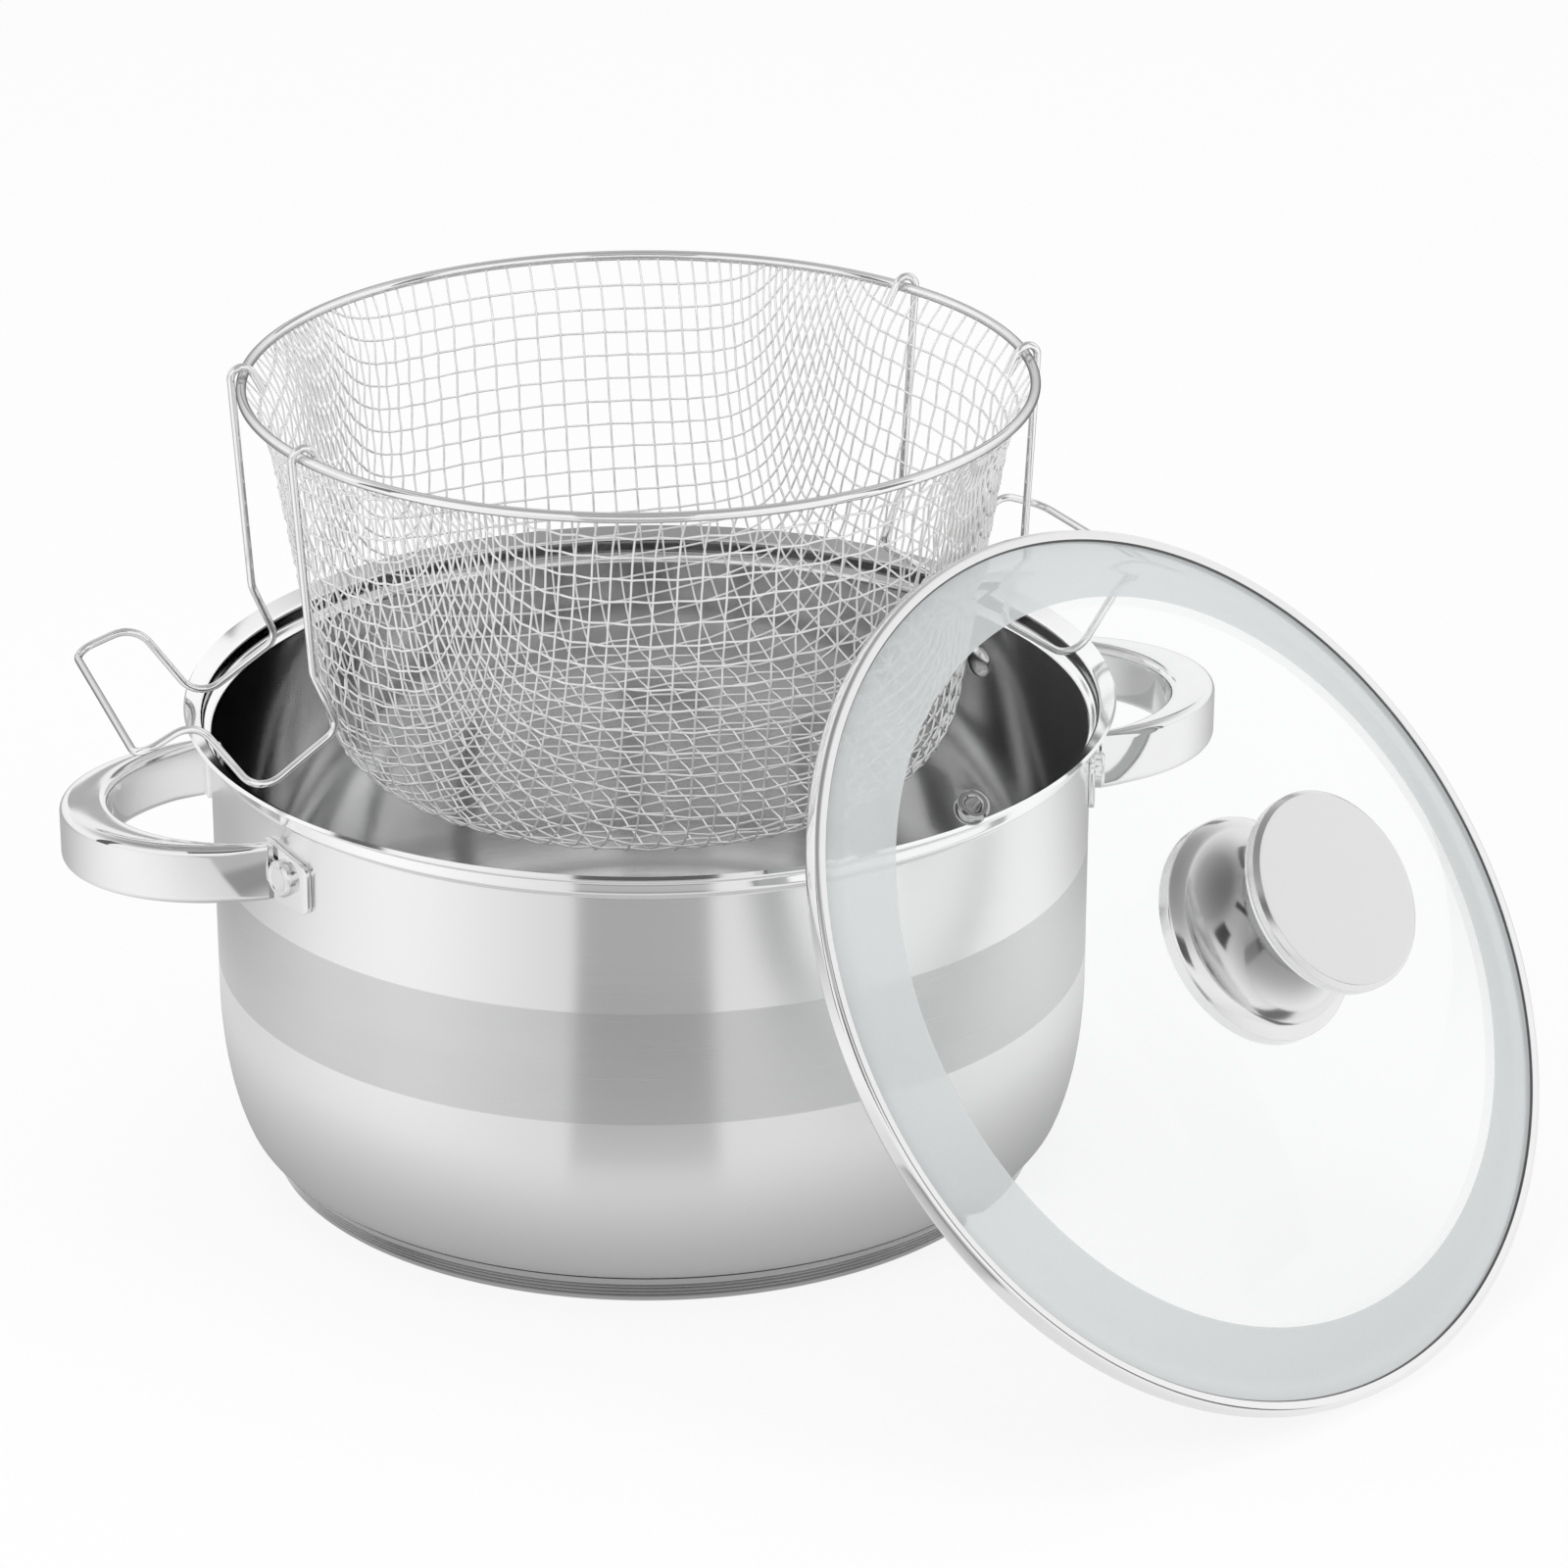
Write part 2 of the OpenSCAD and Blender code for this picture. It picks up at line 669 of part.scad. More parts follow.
module knob_insert() {
  color("darkgray")
    lid_place()
      translate([0, 0, glass_top + 0.5])
        difference() {
          cylinder(r = 5, h = knob_h - knob_t - 0.5);
          translate([0, 0, -1])
            cylinder(r = screw_r + bore_gap, h = 17);
        }
}
module knob_gasket() {
  color("dimgray")
    lid_place()
      difference() {
        union() {
          translate([0, 0, glass_under - 1.3])
            cylinder(r = 10, h = 1);
          translate([0, 0, glass_under - 0.4])
            cylinder(r = stud_hole_r - bore_gap, h = glass_t + 0.6);
        }
        translate([0, 0, glass_under - 5])
          cylinder(r = screw_r + bore_gap, h = 20);
      }
}
module knob_washer() {
  color("silver")
    lid_place()
      translate([0, 0, glass_under - 2.3])
        difference() {
          cylinder(r = 8, h = 1);
          translate([0, 0, -1])
            cylinder(r = screw_r + bore_gap, h = 3);
        }
}
module knob_screw() {
  color("silver")
    lid_place()
      union() {
        translate([0, 0, glass_under - 2.3])
          rotate([180, 0, 0])
            rivet_head(4.8, 2.6, 1.4);
        translate([0, 0, glass_under - 2.4])
          cylinder(r = screw_r, h = 20);
      }
}

pot_body();
base_cap();
base_core();
pot_loop(180);  // pot_handle_left
pot_loop(0);  // pot_handle_right
lug(180, 1);  // lug_left_front
lug(180, -1);  // lug_left_back
lug(0, -1);  // lug_right_front
lug(0, 1);  // lug_right_back
rivets(180);  // rivets_left
rivets(0);  // rivets_right
basket_rim_ring();
basket_mesh_warp();
basket_mesh_weft();
basket_handle(180);  // basket_handle_left
basket_handle(right_turn);  // basket_handle_right
lid_glass();
lid_band();
vent_eyelet();
knob_base();
knob_cap();
knob_insert();
knob_gasket();
knob_washer();
knob_screw();
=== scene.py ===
# %% [markdown]
# # A stovetop deep fryer
#
# The object is a steel pot with a wire basket hung up to drain and a glass lid leaning beside it.
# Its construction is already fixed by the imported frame, in metres, with +Z up and +X through the
# right-hand loop handle. This script dresses that frame: smooth steel sheet, woven wire and glass.
# It could also repaint the frame's own parts, but polished steel shows every flat facet, so the
# visible parts are modelled again from the same few sizes, with finer rounds.

# %% Load the frame
from math import acos, asin, atan, atan2, cos, degrees, floor, hypot, pi, radians, sin, sqrt, tan

import bmesh
import bpy
from mathutils import Matrix, Vector


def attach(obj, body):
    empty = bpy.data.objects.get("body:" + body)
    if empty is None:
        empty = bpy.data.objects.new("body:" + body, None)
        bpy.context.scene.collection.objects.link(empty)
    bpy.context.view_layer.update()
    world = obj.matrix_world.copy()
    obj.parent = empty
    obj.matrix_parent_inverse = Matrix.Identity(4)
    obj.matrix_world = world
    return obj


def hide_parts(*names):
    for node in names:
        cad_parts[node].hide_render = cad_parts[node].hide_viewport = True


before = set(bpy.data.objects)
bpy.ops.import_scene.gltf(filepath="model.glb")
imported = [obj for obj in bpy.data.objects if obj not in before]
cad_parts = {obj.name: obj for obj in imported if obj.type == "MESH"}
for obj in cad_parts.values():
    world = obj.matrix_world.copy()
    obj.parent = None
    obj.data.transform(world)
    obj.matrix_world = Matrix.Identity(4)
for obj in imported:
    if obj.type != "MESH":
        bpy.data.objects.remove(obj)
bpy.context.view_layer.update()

# %% [markdown]
# ## The camera
#
# The view comes first, because every later choice is judged through it. The camera stands about a
# metre and a half away and looks 23 degrees down, past the side where the lid leans. A long lens
# keeps the ellipses of rim, basket and lid close to parallel. A track-to constraint could aim the
# camera, but two plain angles say the same thing and leave nothing live in the scene.

# %% Camera
MM = 0.001
CAMERA_PLACE = (-438.6, -1434.5, 745.7)
CAMERA_DOWN = 23.16
CAMERA_RIGHT = 18.41
LENS = 135.3
PICTURE = 1600

camera_data = bpy.data.cameras.new("camera")
camera_data.lens = LENS
camera_data.sensor_width = 36
camera_data.clip_end = 20
camera = bpy.data.objects.new("camera", camera_data)
camera.location = Vector(CAMERA_PLACE) * MM
camera.rotation_euler = (radians(90 - CAMERA_DOWN), 0, -radians(CAMERA_RIGHT))
bpy.context.scene.collection.objects.link(camera)
bpy.context.scene.camera = camera
print("one pixel at the pot is", round(1.6 / (LENS / 36 * PICTURE) * 1000, 3), "mm")

# %% [markdown]
# ## Outlines
#
# Most of this object is turned: the pot, its base, the rim ring, the lid, the knob and the rivets
# are all one outline spun about an axis. An outline could be a long list of points, but a few
# corners, arcs and offsets say the same and stay easy to change. Sizes here are in millimetres and
# become metres only when a mesh is made.

# %% Outline helpers
TURN_STEPS = 160


def arc(centre, radius, start, end, steps=10):
    """Points on a round arc, angles in degrees."""
    return oval(centre, (radius, radius), start, end, steps)


def oval(centre, half, start, end, steps=16):
    """Points on an ellipse's arc, from its centre and half-widths."""
    angles = [radians(start + (end - start) * i / steps) for i in range(steps + 1)]
    return [(centre[0] + half[0] * cos(a), centre[1] + half[1] * sin(a)) for a in angles]


def rounded(corners, radius, steps=5):
    """An open line whose inner corners are rounded to one radius."""
    line = [corners[0]]
    for before, corner, after in zip(corners, corners[1:], corners[2:]):
        here = Vector(corner)
        back = (Vector(before) - here)
        ahead = (Vector(after) - here)
        half = back.angle(ahead) / 2
        reach = min(radius / tan(half), back.length * 0.49, ahead.length * 0.49)
        a, b = here + back.normalized() * reach, here + ahead.normalized() * reach
        for i in range(steps + 1):
            t = i / steps
            line.append(tuple(a * (1 - t) ** 2 + here * (2 * t * (1 - t)) + b * t ** 2))
    return line + [corners[-1]]


def beside(line, distance):
    """The line moved sideways, to its left, by a distance."""
    moved = []
    for i, point in enumerate(line):
        back = (Vector(line[max(i, 1)]) - Vector(line[max(i, 1) - 1])).normalized()
        nxt = min(i, len(line) - 2)
        ahead = (Vector(line[nxt + 1]) - Vector(line[nxt])).normalized()
        way = (back + ahead).normalized()
        across = Vector((-way.y, way.x))
        widen = 1 / max(0.5, across.dot(Vector((-back.y, back.x))))
        moved.append(tuple(Vector(point) + across * distance * widen))
    return moved


def sheet(line, thickness):
    """The closed outline of a sheet of even thickness about its middle line."""
    return beside(line, thickness / 2) + beside(line, -thickness / 2)[::-1]


print("a full turn has", TURN_STEPS, "steps of", 360 / TURN_STEPS, "degrees")

# %% [markdown]
# ## From outline to piece
#
# `bmesh.ops.spin` turns an outline into a solid of revolution, as a lathe would. The alternative
# is the Screw modifier, which would stay live and slow down every render. A finished piece gets
# smooth shading with sharp edges kept only where the steel really is creased, its place on the
# object, the body that it moves with and the frame part that it stands for.

# %% Piece helpers
materials_wanted = {}


def spun(outline, closed=True, steps=TURN_STEPS):
    """Turns an outline of (radius, height) pairs in millimetres about the Z axis."""
    bm = bmesh.new()
    verts = [bm.verts.new((max(0, r) * MM, 0, z * MM)) for r, z in outline]
    edges = [bm.edges.new(pair) for pair in zip(verts, verts[1:])]
    if closed:
        edges.append(bm.edges.new((verts[-1], verts[0])))
    bmesh.ops.spin(bm, geom=verts + edges, cent=(0, 0, 0), axis=(0, 0, 1),
                   angle=2 * pi, steps=steps, use_merge=True)
    bmesh.ops.remove_doubles(bm, verts=bm.verts[:], dist=1e-7)
    bmesh.ops.dissolve_degenerate(bm, edges=bm.edges[:], dist=1e-7)
    bmesh.ops.recalc_face_normals(bm, faces=bm.faces[:])
    return bm


def as_mesh(bm, name):
    """Turns a bmesh into a mesh and frees it."""
    mesh = bpy.data.meshes.new(name)
    bm.to_mesh(mesh)
    bm.free()
    return mesh


def as_object(name, data):
    """Puts a mesh or a lamp into the scene."""
    obj = bpy.data.objects.new(name, data)
    bpy.context.scene.collection.objects.link(obj)
    return obj


def piece(name, bm, body, node, finish, place=None, crease=35):
    """Makes a bmesh one finished piece of the object."""
    if place is not None:
        bmesh.ops.transform(bm, matrix=place, verts=bm.verts[:])
    return mesh_piece(name, as_mesh(bm, name), body, node, finish, crease)


def mesh_piece(name, mesh, body, node, finish, crease=35):
    """Puts a mesh into the scene, on its body and in place of its frame part."""
    mesh.shade_smooth()
    mesh.set_sharp_from_angle(angle=radians(crease))
    obj = as_object(name, mesh)
    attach(obj, body)
    if node:
        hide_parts(node)
    materials_wanted[name] = finish
    print(f"{name}: {sum(len(p.vertices) - 2 for p in mesh.polygons)} triangles on {body}")
    return obj


# %% [markdown]
# ## The pot
#
# The pot is deep-drawn from one millimetre sheet. Its wall is straight above a full belly, steps
# out near the top to seat the lid, and ends in a flared lip that pours cleanly. Only the middle
# line of the sheet is drawn. Offsetting it by half the thickness each way gives both faces, which
# keeps the wall even. A Solidify modifier could do the same but leaves the lip's edge square.

# %% Pot wall
POT_R = 120.9
LIP_Z = 133.0
SHEET = 1.0
SEAT_Z = 125.3
COLLAR_STEP = 2.7
BOTTOM_R = 107.2
CORNER_R = 8.24
FLOOR_Z = 8.3
BELLY = (13.6, 44.8)
BELLY_RISE = 33.06

wall_mid = POT_R - SHEET / 2
corner_z = FLOOR_Z + CORNER_R
belly_c = (wall_mid - BELLY[0], corner_z + BELLY_RISE)
collar_mid = wall_mid + COLLAR_STEP

foot_line = [(0, FLOOR_Z), (60, FLOOR_Z)] + arc((BOTTOM_R, corner_z), CORNER_R, -90, -24, 10)
belly_line = oval(belly_c, BELLY, -50, 0, 28)
collar_line = rounded([
    (wall_mid, SEAT_Z - 20), (wall_mid, SEAT_Z - 0.6), (collar_mid, SEAT_Z + 0.6),
    (collar_mid, LIP_Z - 3.4), (collar_mid + 4.3, LIP_Z - 0.6)], 1.8, 7)
pot_line = foot_line + belly_line + collar_line

pot_bm = spun(sheet(pot_line, SHEET), closed=False)
for face in pot_bm.faces:
    middle = face.calc_center_median()
    out = face.normal.dot(middle - Vector((0, 0, 70 * MM)))
    face.material_index = 0 if out > 0 and middle.z < (SEAT_Z - 1) * MM else 1
pot_wall = piece("pot_wall", pot_bm, "pot", "pot_body", ["satin_steel", "pot_inside"], crease=50)

# %% [markdown]
# The base cover is a shallow dish pressed over the heat-spreading disc. Its side is turned with
# four fine grooves. They could be a bump pattern, but at this size they catch light along their
# edges and show in the silhouette, so they are real.

# %% Base cover
COVER_LOW_R = 107.6
COVER_TOP_R = 111.5
COVER_T = 0.6
GROOVE_Z = 1.6
GROOVE_PITCH = 1.3
GROOVE_W = 0.7
GROOVE_D = 0.35
GROOVES = 4


def underside(r):
    """Height of the pot's rounded underside at a radius."""
    return corner_z - sqrt((CORNER_R + SHEET / 2) ** 2 - (r - BOTTOM_R) ** 2)


def cover_side(z):
    """Radius of the cover's sloping side at a height."""
    return COVER_LOW_R + (COVER_TOP_R - COVER_LOW_R) * (z - 0.5) / (underside(COVER_TOP_R) - 0.55)


cover_outline = [(0, 0), (60, 0), (COVER_LOW_R - 0.6, 0), (COVER_LOW_R - 0.1, 0.25)]
for i in range(GROOVES):
    low = GROOVE_Z + i * GROOVE_PITCH
    cover_outline += [(cover_side(low) - GROOVE_D * k, low + GROOVE_W * t)
                      for k, t in ((0, 0), (0.7, 0.15), (1, 0.35), (1, 0.65), (0.7, 0.85), (0, 1))]
cover_outline += [
    (COVER_TOP_R, underside(COVER_TOP_R) - 0.25), (COVER_TOP_R - 0.15, underside(COVER_TOP_R - 0.15) - 0.03),
    (COVER_TOP_R - 0.7, underside(COVER_TOP_R - 0.7) - 0.03), (BOTTOM_R - 0.2, 7.6),
    (BOTTOM_R - 0.2, COVER_T), (0, COVER_T)]
piece("base_cover", spun(cover_outline, closed=False), "pot", "base_cap", ["turned_steel"], crease=30)

# %% [markdown]
# ## The loop handles
#
# Each loop is a hollow band whose two sides are different ellipses, so it is slim where it joins
# the pot and broad at its tip. That shape is lofted: a rounded section is placed at many stations
# between the two ellipses and `bridge_loops` skins one to the next. A curve with a bevel object
# would keep the width even, which is not how these handles look.

# %% Loop handles
LOOP_REACH = 165
LOOP_END_X = 118
LOOP_Z = 102
LOOP_H = 16.5
LOOP_MID_Z = LOOP_Z + LOOP_H / 2
LOOP_OUTER = (LOOP_REACH - LOOP_END_X, 39)
LOOP_INNER_X = 110
LOOP_INNER = (LOOP_REACH - 13.5 - LOOP_INNER_X, 36)
LOOP_STATIONS = 72


def band_section(width, height, radius, steps=6):
    """A rounded rectangle as a closed ring of (across, up) pairs."""
    ring = []
    for quarter, (sx, sz) in enumerate(((1, 1), (-1, 1), (-1, -1), (1, -1))):
        centre = (sx * (width / 2 - radius), sz * (height / 2 - radius))
        ring += arc(centre, radius, quarter * 90, quarter * 90 + 90, steps)
    return ring


def section_loop(bm, points):
    """Adds one closed ring of edges."""
    verts = [bm.verts.new(Vector(p) * MM) for p in points]
    return verts, [bm.edges.new((a, b)) for a, b in zip(verts, verts[1:] + verts[:1])]


def lofted(rings):
    """Skins a row of rings and closes both ends."""
    bm = bmesh.new()
    loops = [section_loop(bm, ring) for ring in rings]
    for (_, a), (_, b) in zip(loops, loops[1:]):
        bmesh.ops.bridge_loops(bm, edges=a + b)
    for verts, _ in (loops[0], loops[-1]):
        bm.faces.new(verts)
    bmesh.ops.recalc_face_normals(bm, faces=bm.faces[:])
    return bm


def loop_rings():
    """Sections along a loop, each square to the way between its two ellipses."""
    inner_end = acos((LOOP_END_X - LOOP_INNER_X) / LOOP_INNER[0])
    rings = []
    for i in range(LOOP_STATIONS + 1):
        k = 2 * i / LOOP_STATIONS - 1
        outer = Vector((LOOP_END_X + LOOP_OUTER[0] * cos(pi / 2 * k), LOOP_OUTER[1] * sin(pi / 2 * k)))
        inner = Vector((LOOP_INNER_X + LOOP_INNER[0] * cos(inner_end * k),
                        LOOP_INNER[1] * sin(inner_end * k)))
        middle, across = (outer + inner) / 2, (outer - inner).normalized()
        width = (outer - inner).length
        section = band_section(width, LOOP_H, min(2.6, width / 2 - 0.15))
        rings.append([(middle.x + across.x * a, middle.y + across.y * a, LOOP_MID_Z + up)
                      for a, up in section])
    return rings


def turned(degrees_round):
    """A turn about the pot's axis."""
    return Matrix.Rotation(radians(degrees_round), 4, "Z")


for side, turn in (("right", 0), ("left", 180)):
    piece(f"loop_handle_{side}", lofted(loop_rings()), "pot", f"pot_handle_{side}", ["mirror_steel"],
          place=turned(turn), crease=40)

# %% [markdown]
# Lug plates carry the loops. Each is stamped flat with clipped corners, then bent to the wall. It
# is made the same way here: a flat outline is cut into strips with `bisect_plane`, so that it can
# bend, extruded to its thickness, bevelled, and wrapped round the pot by its angle.

# %% Lug plates
LUG_T = 1.55
LUG_GAP = 0.03
RIVET_TURN = 20.6
LUG_TURNS = (16.2, 25.2)
LUG_SQUARE = 3
LUG_SLANT = 3
STUB_Y = 36.85
STUB_T = 2.4
LUG_R = POT_R + LUG_GAP + LUG_T


def lug_plate(hand):
    """A lug plate with the stub that its loop's end sits on."""
    near = radians(LUG_TURNS[0]) * LUG_R
    far = radians(LUG_TURNS[1]) * LUG_R
    half = LOOP_H / 2
    corners = [(near, -half), (near, half), (near + LUG_SQUARE, half), (far, half - LUG_SLANT), (far, -half)]
    bm = bmesh.new()
    bm.faces.new([bm.verts.new((y, 0, z)) for y, z in corners])
    bmesh.ops.bevel(bm, geom=[v for v in bm.verts if v.co.x > far - 1], affect="VERTICES", offset=2.6,
                    segments=8, profile=0.5, material=-1)
    strips = 10
    for i in range(1, strips):
        bmesh.ops.bisect_plane(bm, geom=bm.verts[:] + bm.edges[:] + bm.faces[:],
                               plane_co=(near + (far - near) * i / strips, 0, 0), plane_no=(1, 0, 0),
                               dist=1e-6)
    grown = bmesh.ops.extrude_face_region(bm, geom=bm.faces[:])
    top = [v for v in grown["geom"] if isinstance(v, bmesh.types.BMVert)]
    bmesh.ops.translate(bm, vec=(0, LUG_T, 0), verts=top)
    rim = [e for e in bm.edges if len(e.link_faces) == 2 and e.calc_face_angle(0) > 1]
    bmesh.ops.bevel(bm, geom=rim, affect="EDGES", offset=0.3, segments=3, profile=0.5, material=-1,
                    clamp_overlap=True)
    for v in bm.verts:
        angle, depth, up = v.co.x / LUG_R, POT_R + LUG_GAP + v.co.y, v.co.z + LOOP_MID_Z
        v.co = Vector((depth * cos(angle), hand * depth * sin(angle), up)) * MM
    stub = bmesh.ops.create_cube(bm, size=MM)["verts"]
    low, high = sqrt(POT_R ** 2 - (STUB_Y - STUB_T / 2) ** 2) + 0.4, LOOP_END_X
    bmesh.ops.scale(bm, vec=(high - low, STUB_T, LOOP_H - 0.9), verts=stub)
    bmesh.ops.translate(bm, vec=Vector(((high + low) / 2, hand * STUB_Y, LOOP_MID_Z)) * MM, verts=stub)
    bmesh.ops.recalc_face_normals(bm, faces=bm.faces[:])
    return bm


for side, turn in (("right", 0), ("left", 180)):
    for hand in (1, -1):
        end = "back" if (hand > 0) == (side == "right") else "front"
        piece(f"lug_plate_{side}_{end}", lug_plate(hand), "pot", f"lug_{side}_{end}", ["mirror_steel"],
              place=turned(turn), crease=30)

# %% [markdown]
# Rivets hold each lug through the pot's wall. Outside they have a low round head with a flat
# crown, inside a smooth dome that is easy to wipe. Both are turned from a short outline.

# %% Rivets
HEAD_R = 5.1
HEAD_H = 2.5
INNER_HEAD_R = 4.5
head_outline = [(0, -0.25), (HEAD_R, -0.25)] + rounded(
    [(HEAD_R, 0), (HEAD_R, HEAD_H - 0.9), (HEAD_R - 0.9, HEAD_H), (HEAD_R - 1.6, HEAD_H - 0.15),
     (HEAD_R - 2.0, HEAD_H - 0.35), (0, HEAD_H - 0.2)], 0.5, 4)
dome_outline = [(0, -0.1), (INNER_HEAD_R, -0.1)] + oval((0, 0), (INNER_HEAD_R, 1.8), 8, 90, 10)


def rivet_pair(turn):
    """Two rivets, each with its outer head and inner dome, as one mesh."""
    bm = bmesh.new()
    for sideways in (RIVET_TURN, -RIVET_TURN):
        for outline, radius, flip in ((head_outline, LUG_R + 0.05, 90),
                                      (dome_outline, POT_R - SHEET - 0.05, -90)):
            part = spun(outline, closed=False, steps=48)
            place = (turned(turn + sideways) @ Matrix.Translation(Vector((radius, 0, LOOP_MID_Z)) * MM)
                     @ Matrix.Rotation(radians(flip), 4, "Y"))
            bmesh.ops.transform(part, matrix=place, verts=part.verts[:])
            joined = as_mesh(part, "rivet_part")
            bm.from_mesh(joined)
            bpy.data.meshes.remove(joined)
    return bm


for side, turn in (("right", 0), ("left", 180)):
    piece(f"rivet_heads_{side}", rivet_pair(turn), "pot", f"rivets_{side}", ["soft_steel"], crease=40)

# %% [markdown]
# ## The basket
#
# The basket's wall has a flat floor, a round corner, a wall that leans out a little and a flare
# that meets the rim ring. One function gives its radius, height and slope at any distance along
# the surface, so the ring, the mesh and the handles all agree.

# %% Basket form
BASKET_PLACE = Vector((-1.8, 1.5, 0))
RING_R = 106.7
RING_Z = 222.5
RING_WIRE = 2.8
BASKET_FLOOR_Z = 115.5
BASKET_FLOOR_R = 84
BASKET_CORNER = 20
WALL_LEAN = radians(9.4)
FLARE_Z = 204.5

corner_run = BASKET_CORNER * tan((pi / 2 - WALL_LEAN) / 2)
s_floor = BASKET_FLOOR_R - corner_run
s_corner = s_floor + BASKET_CORNER * (pi / 2 - WALL_LEAN)
wall_foot = (BASKET_FLOOR_R + corner_run * sin(WALL_LEAN), BASKET_FLOOR_Z + corner_run * cos(WALL_LEAN))
s_wall = s_corner + (FLARE_Z - wall_foot[1]) / cos(WALL_LEAN)
flare_foot = (wall_foot[0] + (FLARE_Z - wall_foot[1]) * tan(WALL_LEAN), FLARE_Z)
chord = (RING_R - flare_foot[0], RING_Z - flare_foot[1])
flare_turn = 2 * (atan2(chord[0], chord[1]) - WALL_LEAN)
flare_r = hypot(*chord) / 2 / sin(flare_turn / 2)
s_ring = s_wall + flare_r * flare_turn


def basket_wall(s):
    """Radius, height and slope of the basket at a distance along its surface."""
    if s <= s_floor:
        return s, BASKET_FLOOR_Z, 0
    if s <= s_corner:
        a = (s - s_floor) / BASKET_CORNER
        return s_floor + BASKET_CORNER * sin(a), BASKET_FLOOR_Z + BASKET_CORNER * (1 - cos(a)), a
    if s <= s_wall:
        d = s - s_corner
        return wall_foot[0] + d * sin(WALL_LEAN), wall_foot[1] + d * cos(WALL_LEAN), pi / 2 - WALL_LEAN
    a = WALL_LEAN + (s - s_wall) / flare_r
    return (flare_foot[0] + flare_r * (cos(WALL_LEAN) - cos(a)),
            flare_foot[1] + flare_r * (sin(a) - sin(WALL_LEAN)), pi / 2 - a)


ring_outline = arc((RING_R, RING_Z), RING_WIRE / 2, 0, 360, 28)[:-1]
piece("rim_ring", spun(ring_outline, steps=240), "basket", "basket_rim_ring", ["bright_wire"],
      place=Matrix.Translation(BASKET_PLACE * MM), crease=180)
print("surface length from the middle to the ring:", round(s_ring, 1), "mm")

# %% [markdown]
# ## The woven mesh
#
# The mesh starts as flat square cloth of crimped wire and is drawn down over a former. On four
# sides the squares stay square, while between them the cloth is pulled on its bias and the squares
# close up into slim diamonds. A grid projected onto the wall would miss that. Here each flat
# crossing is mapped by a formula: it keeps its distance from the middle, shortened on the bias,
# and its angle swings away from the sides, until neighbouring wires are as close as they are in
# the drawn basket. Each wire goes over and under its neighbours, so it is a curve through lifted
# crossings. Curves with a round bevel make the lightest tubes, and become one mesh for each way.

# %% Mesh wires
MESH_WIRE = 0.62
MESH_PITCH = 6.65
DRAW_START = 60
DRAW_END = 150
DRAW_STRETCH = 0.125
BIAS_SQUEEZE = 0.53
WEAVE_LIFT = 0.35
WELD_DEPTH = 0.9


def smooth(x):
    """Runs from 0 to 1 with soft ends."""
    t = min(1, max(0, x))
    return t * t * (3 - 2 * t)


def drawn(rho):
    """How fully the cloth is drawn at this distance from its middle, from 0 to 1."""
    return smooth((rho - DRAW_START) / (DRAW_END - DRAW_START))


def drawn_s(rho, theta):
    """Distance along the drawn surface of a flat point."""
    return rho * (1 - DRAW_STRETCH * drawn(rho) * sin(2 * theta) ** 2)


def mesh_point(u, v, lift=0):
    """Place on the basket of the flat cloth's point, lifted off the surface."""
    rho, theta = max(0.001, hypot(u, v)), atan2(v, u)
    r, z, slope = basket_wall(drawn_s(rho, theta))
    side_pull = rho / r
    bias_pull = 1 + drawn(rho) * (BIAS_SQUEEZE - 1)
    four, eight = (side_pull - bias_pull) / 2, (side_pull + bias_pull) / 2 - 1
    phi = theta + four * sin(4 * theta) / 4 + eight * sin(8 * theta) / 8
    out = r + lift * sin(slope)
    return Vector((out * cos(phi), out * sin(phi), z - lift * cos(slope)))


def wire_end(v):
    """How far along its own way a wire runs before it meets the ring."""
    low, high = 0, 260
    top = s_ring - RING_WIRE / 2 + WELD_DEPTH - MESH_WIRE / 2
    for _ in range(24):
        middle = (low + high) / 2
        if drawn_s(hypot(middle, v), atan2(v, middle)) < top:
            low = middle
        else:
            high = middle
    return low


def wire_path(j, swap):
    """Points along one wire: a crest at each crossing and a level point between."""
    v = j * MESH_PITCH
    end = wire_end(v)
    last = floor((end - 1.5) / MESH_PITCH)

    def over(i):
        return WEAVE_LIFT * (1 if (i + j) % 2 == 0 else -1) * (-1 if swap else 1)

    points = [(-end, over(round(-end / MESH_PITCH)))]
    for i in range(-last, last + 1):
        points.append((i * MESH_PITCH, over(i)))
        if i < last:
            points.append(((i + 0.5) * MESH_PITCH, 0))
    points.append((end, over(round(end / MESH_PITCH))))
    return [(mesh_point(v, u, lift) if swap else mesh_point(u, v, lift)) + BASKET_PLACE for u, lift in points]


def wires(name, paths, radius, sides):
    """Round wires along paths, made as bevelled curves and turned into one mesh."""
    curve = bpy.data.curves.new(name, "CURVE")
    curve.dimensions = "3D"
    curve.bevel_depth = radius * MM
    curve.bevel_resolution = sides
    curve.use_fill_caps = True
    for path in paths:
        spline = curve.splines.new("POLY")
        spline.points.add(len(path) - 1)
        for point, place in zip(spline.points, path):
            point.co = (*(place * MM), 1)
    holder = bpy.data.objects.new(name, curve)
    mesh = bpy.data.meshes.new_from_object(holder)
    bpy.data.objects.remove(holder)
    bpy.data.curves.remove(curve)
    mesh.name = name
    mesh.materials.clear()
    return mesh


last_wire = floor((s_ring - 8) / MESH_PITCH)
for way, swap in (("warp", False), ("weft", True)):
    paths = [wire_path(j, swap) for j in range(-last_wire, last_wire + 1)]
    mesh_piece(f"mesh_{way}", wires(f"mesh_{way}", paths, MESH_WIRE / 2, 1), "basket", f"basket_mesh_{way}",
               ["mesh_wire"], crease=180)

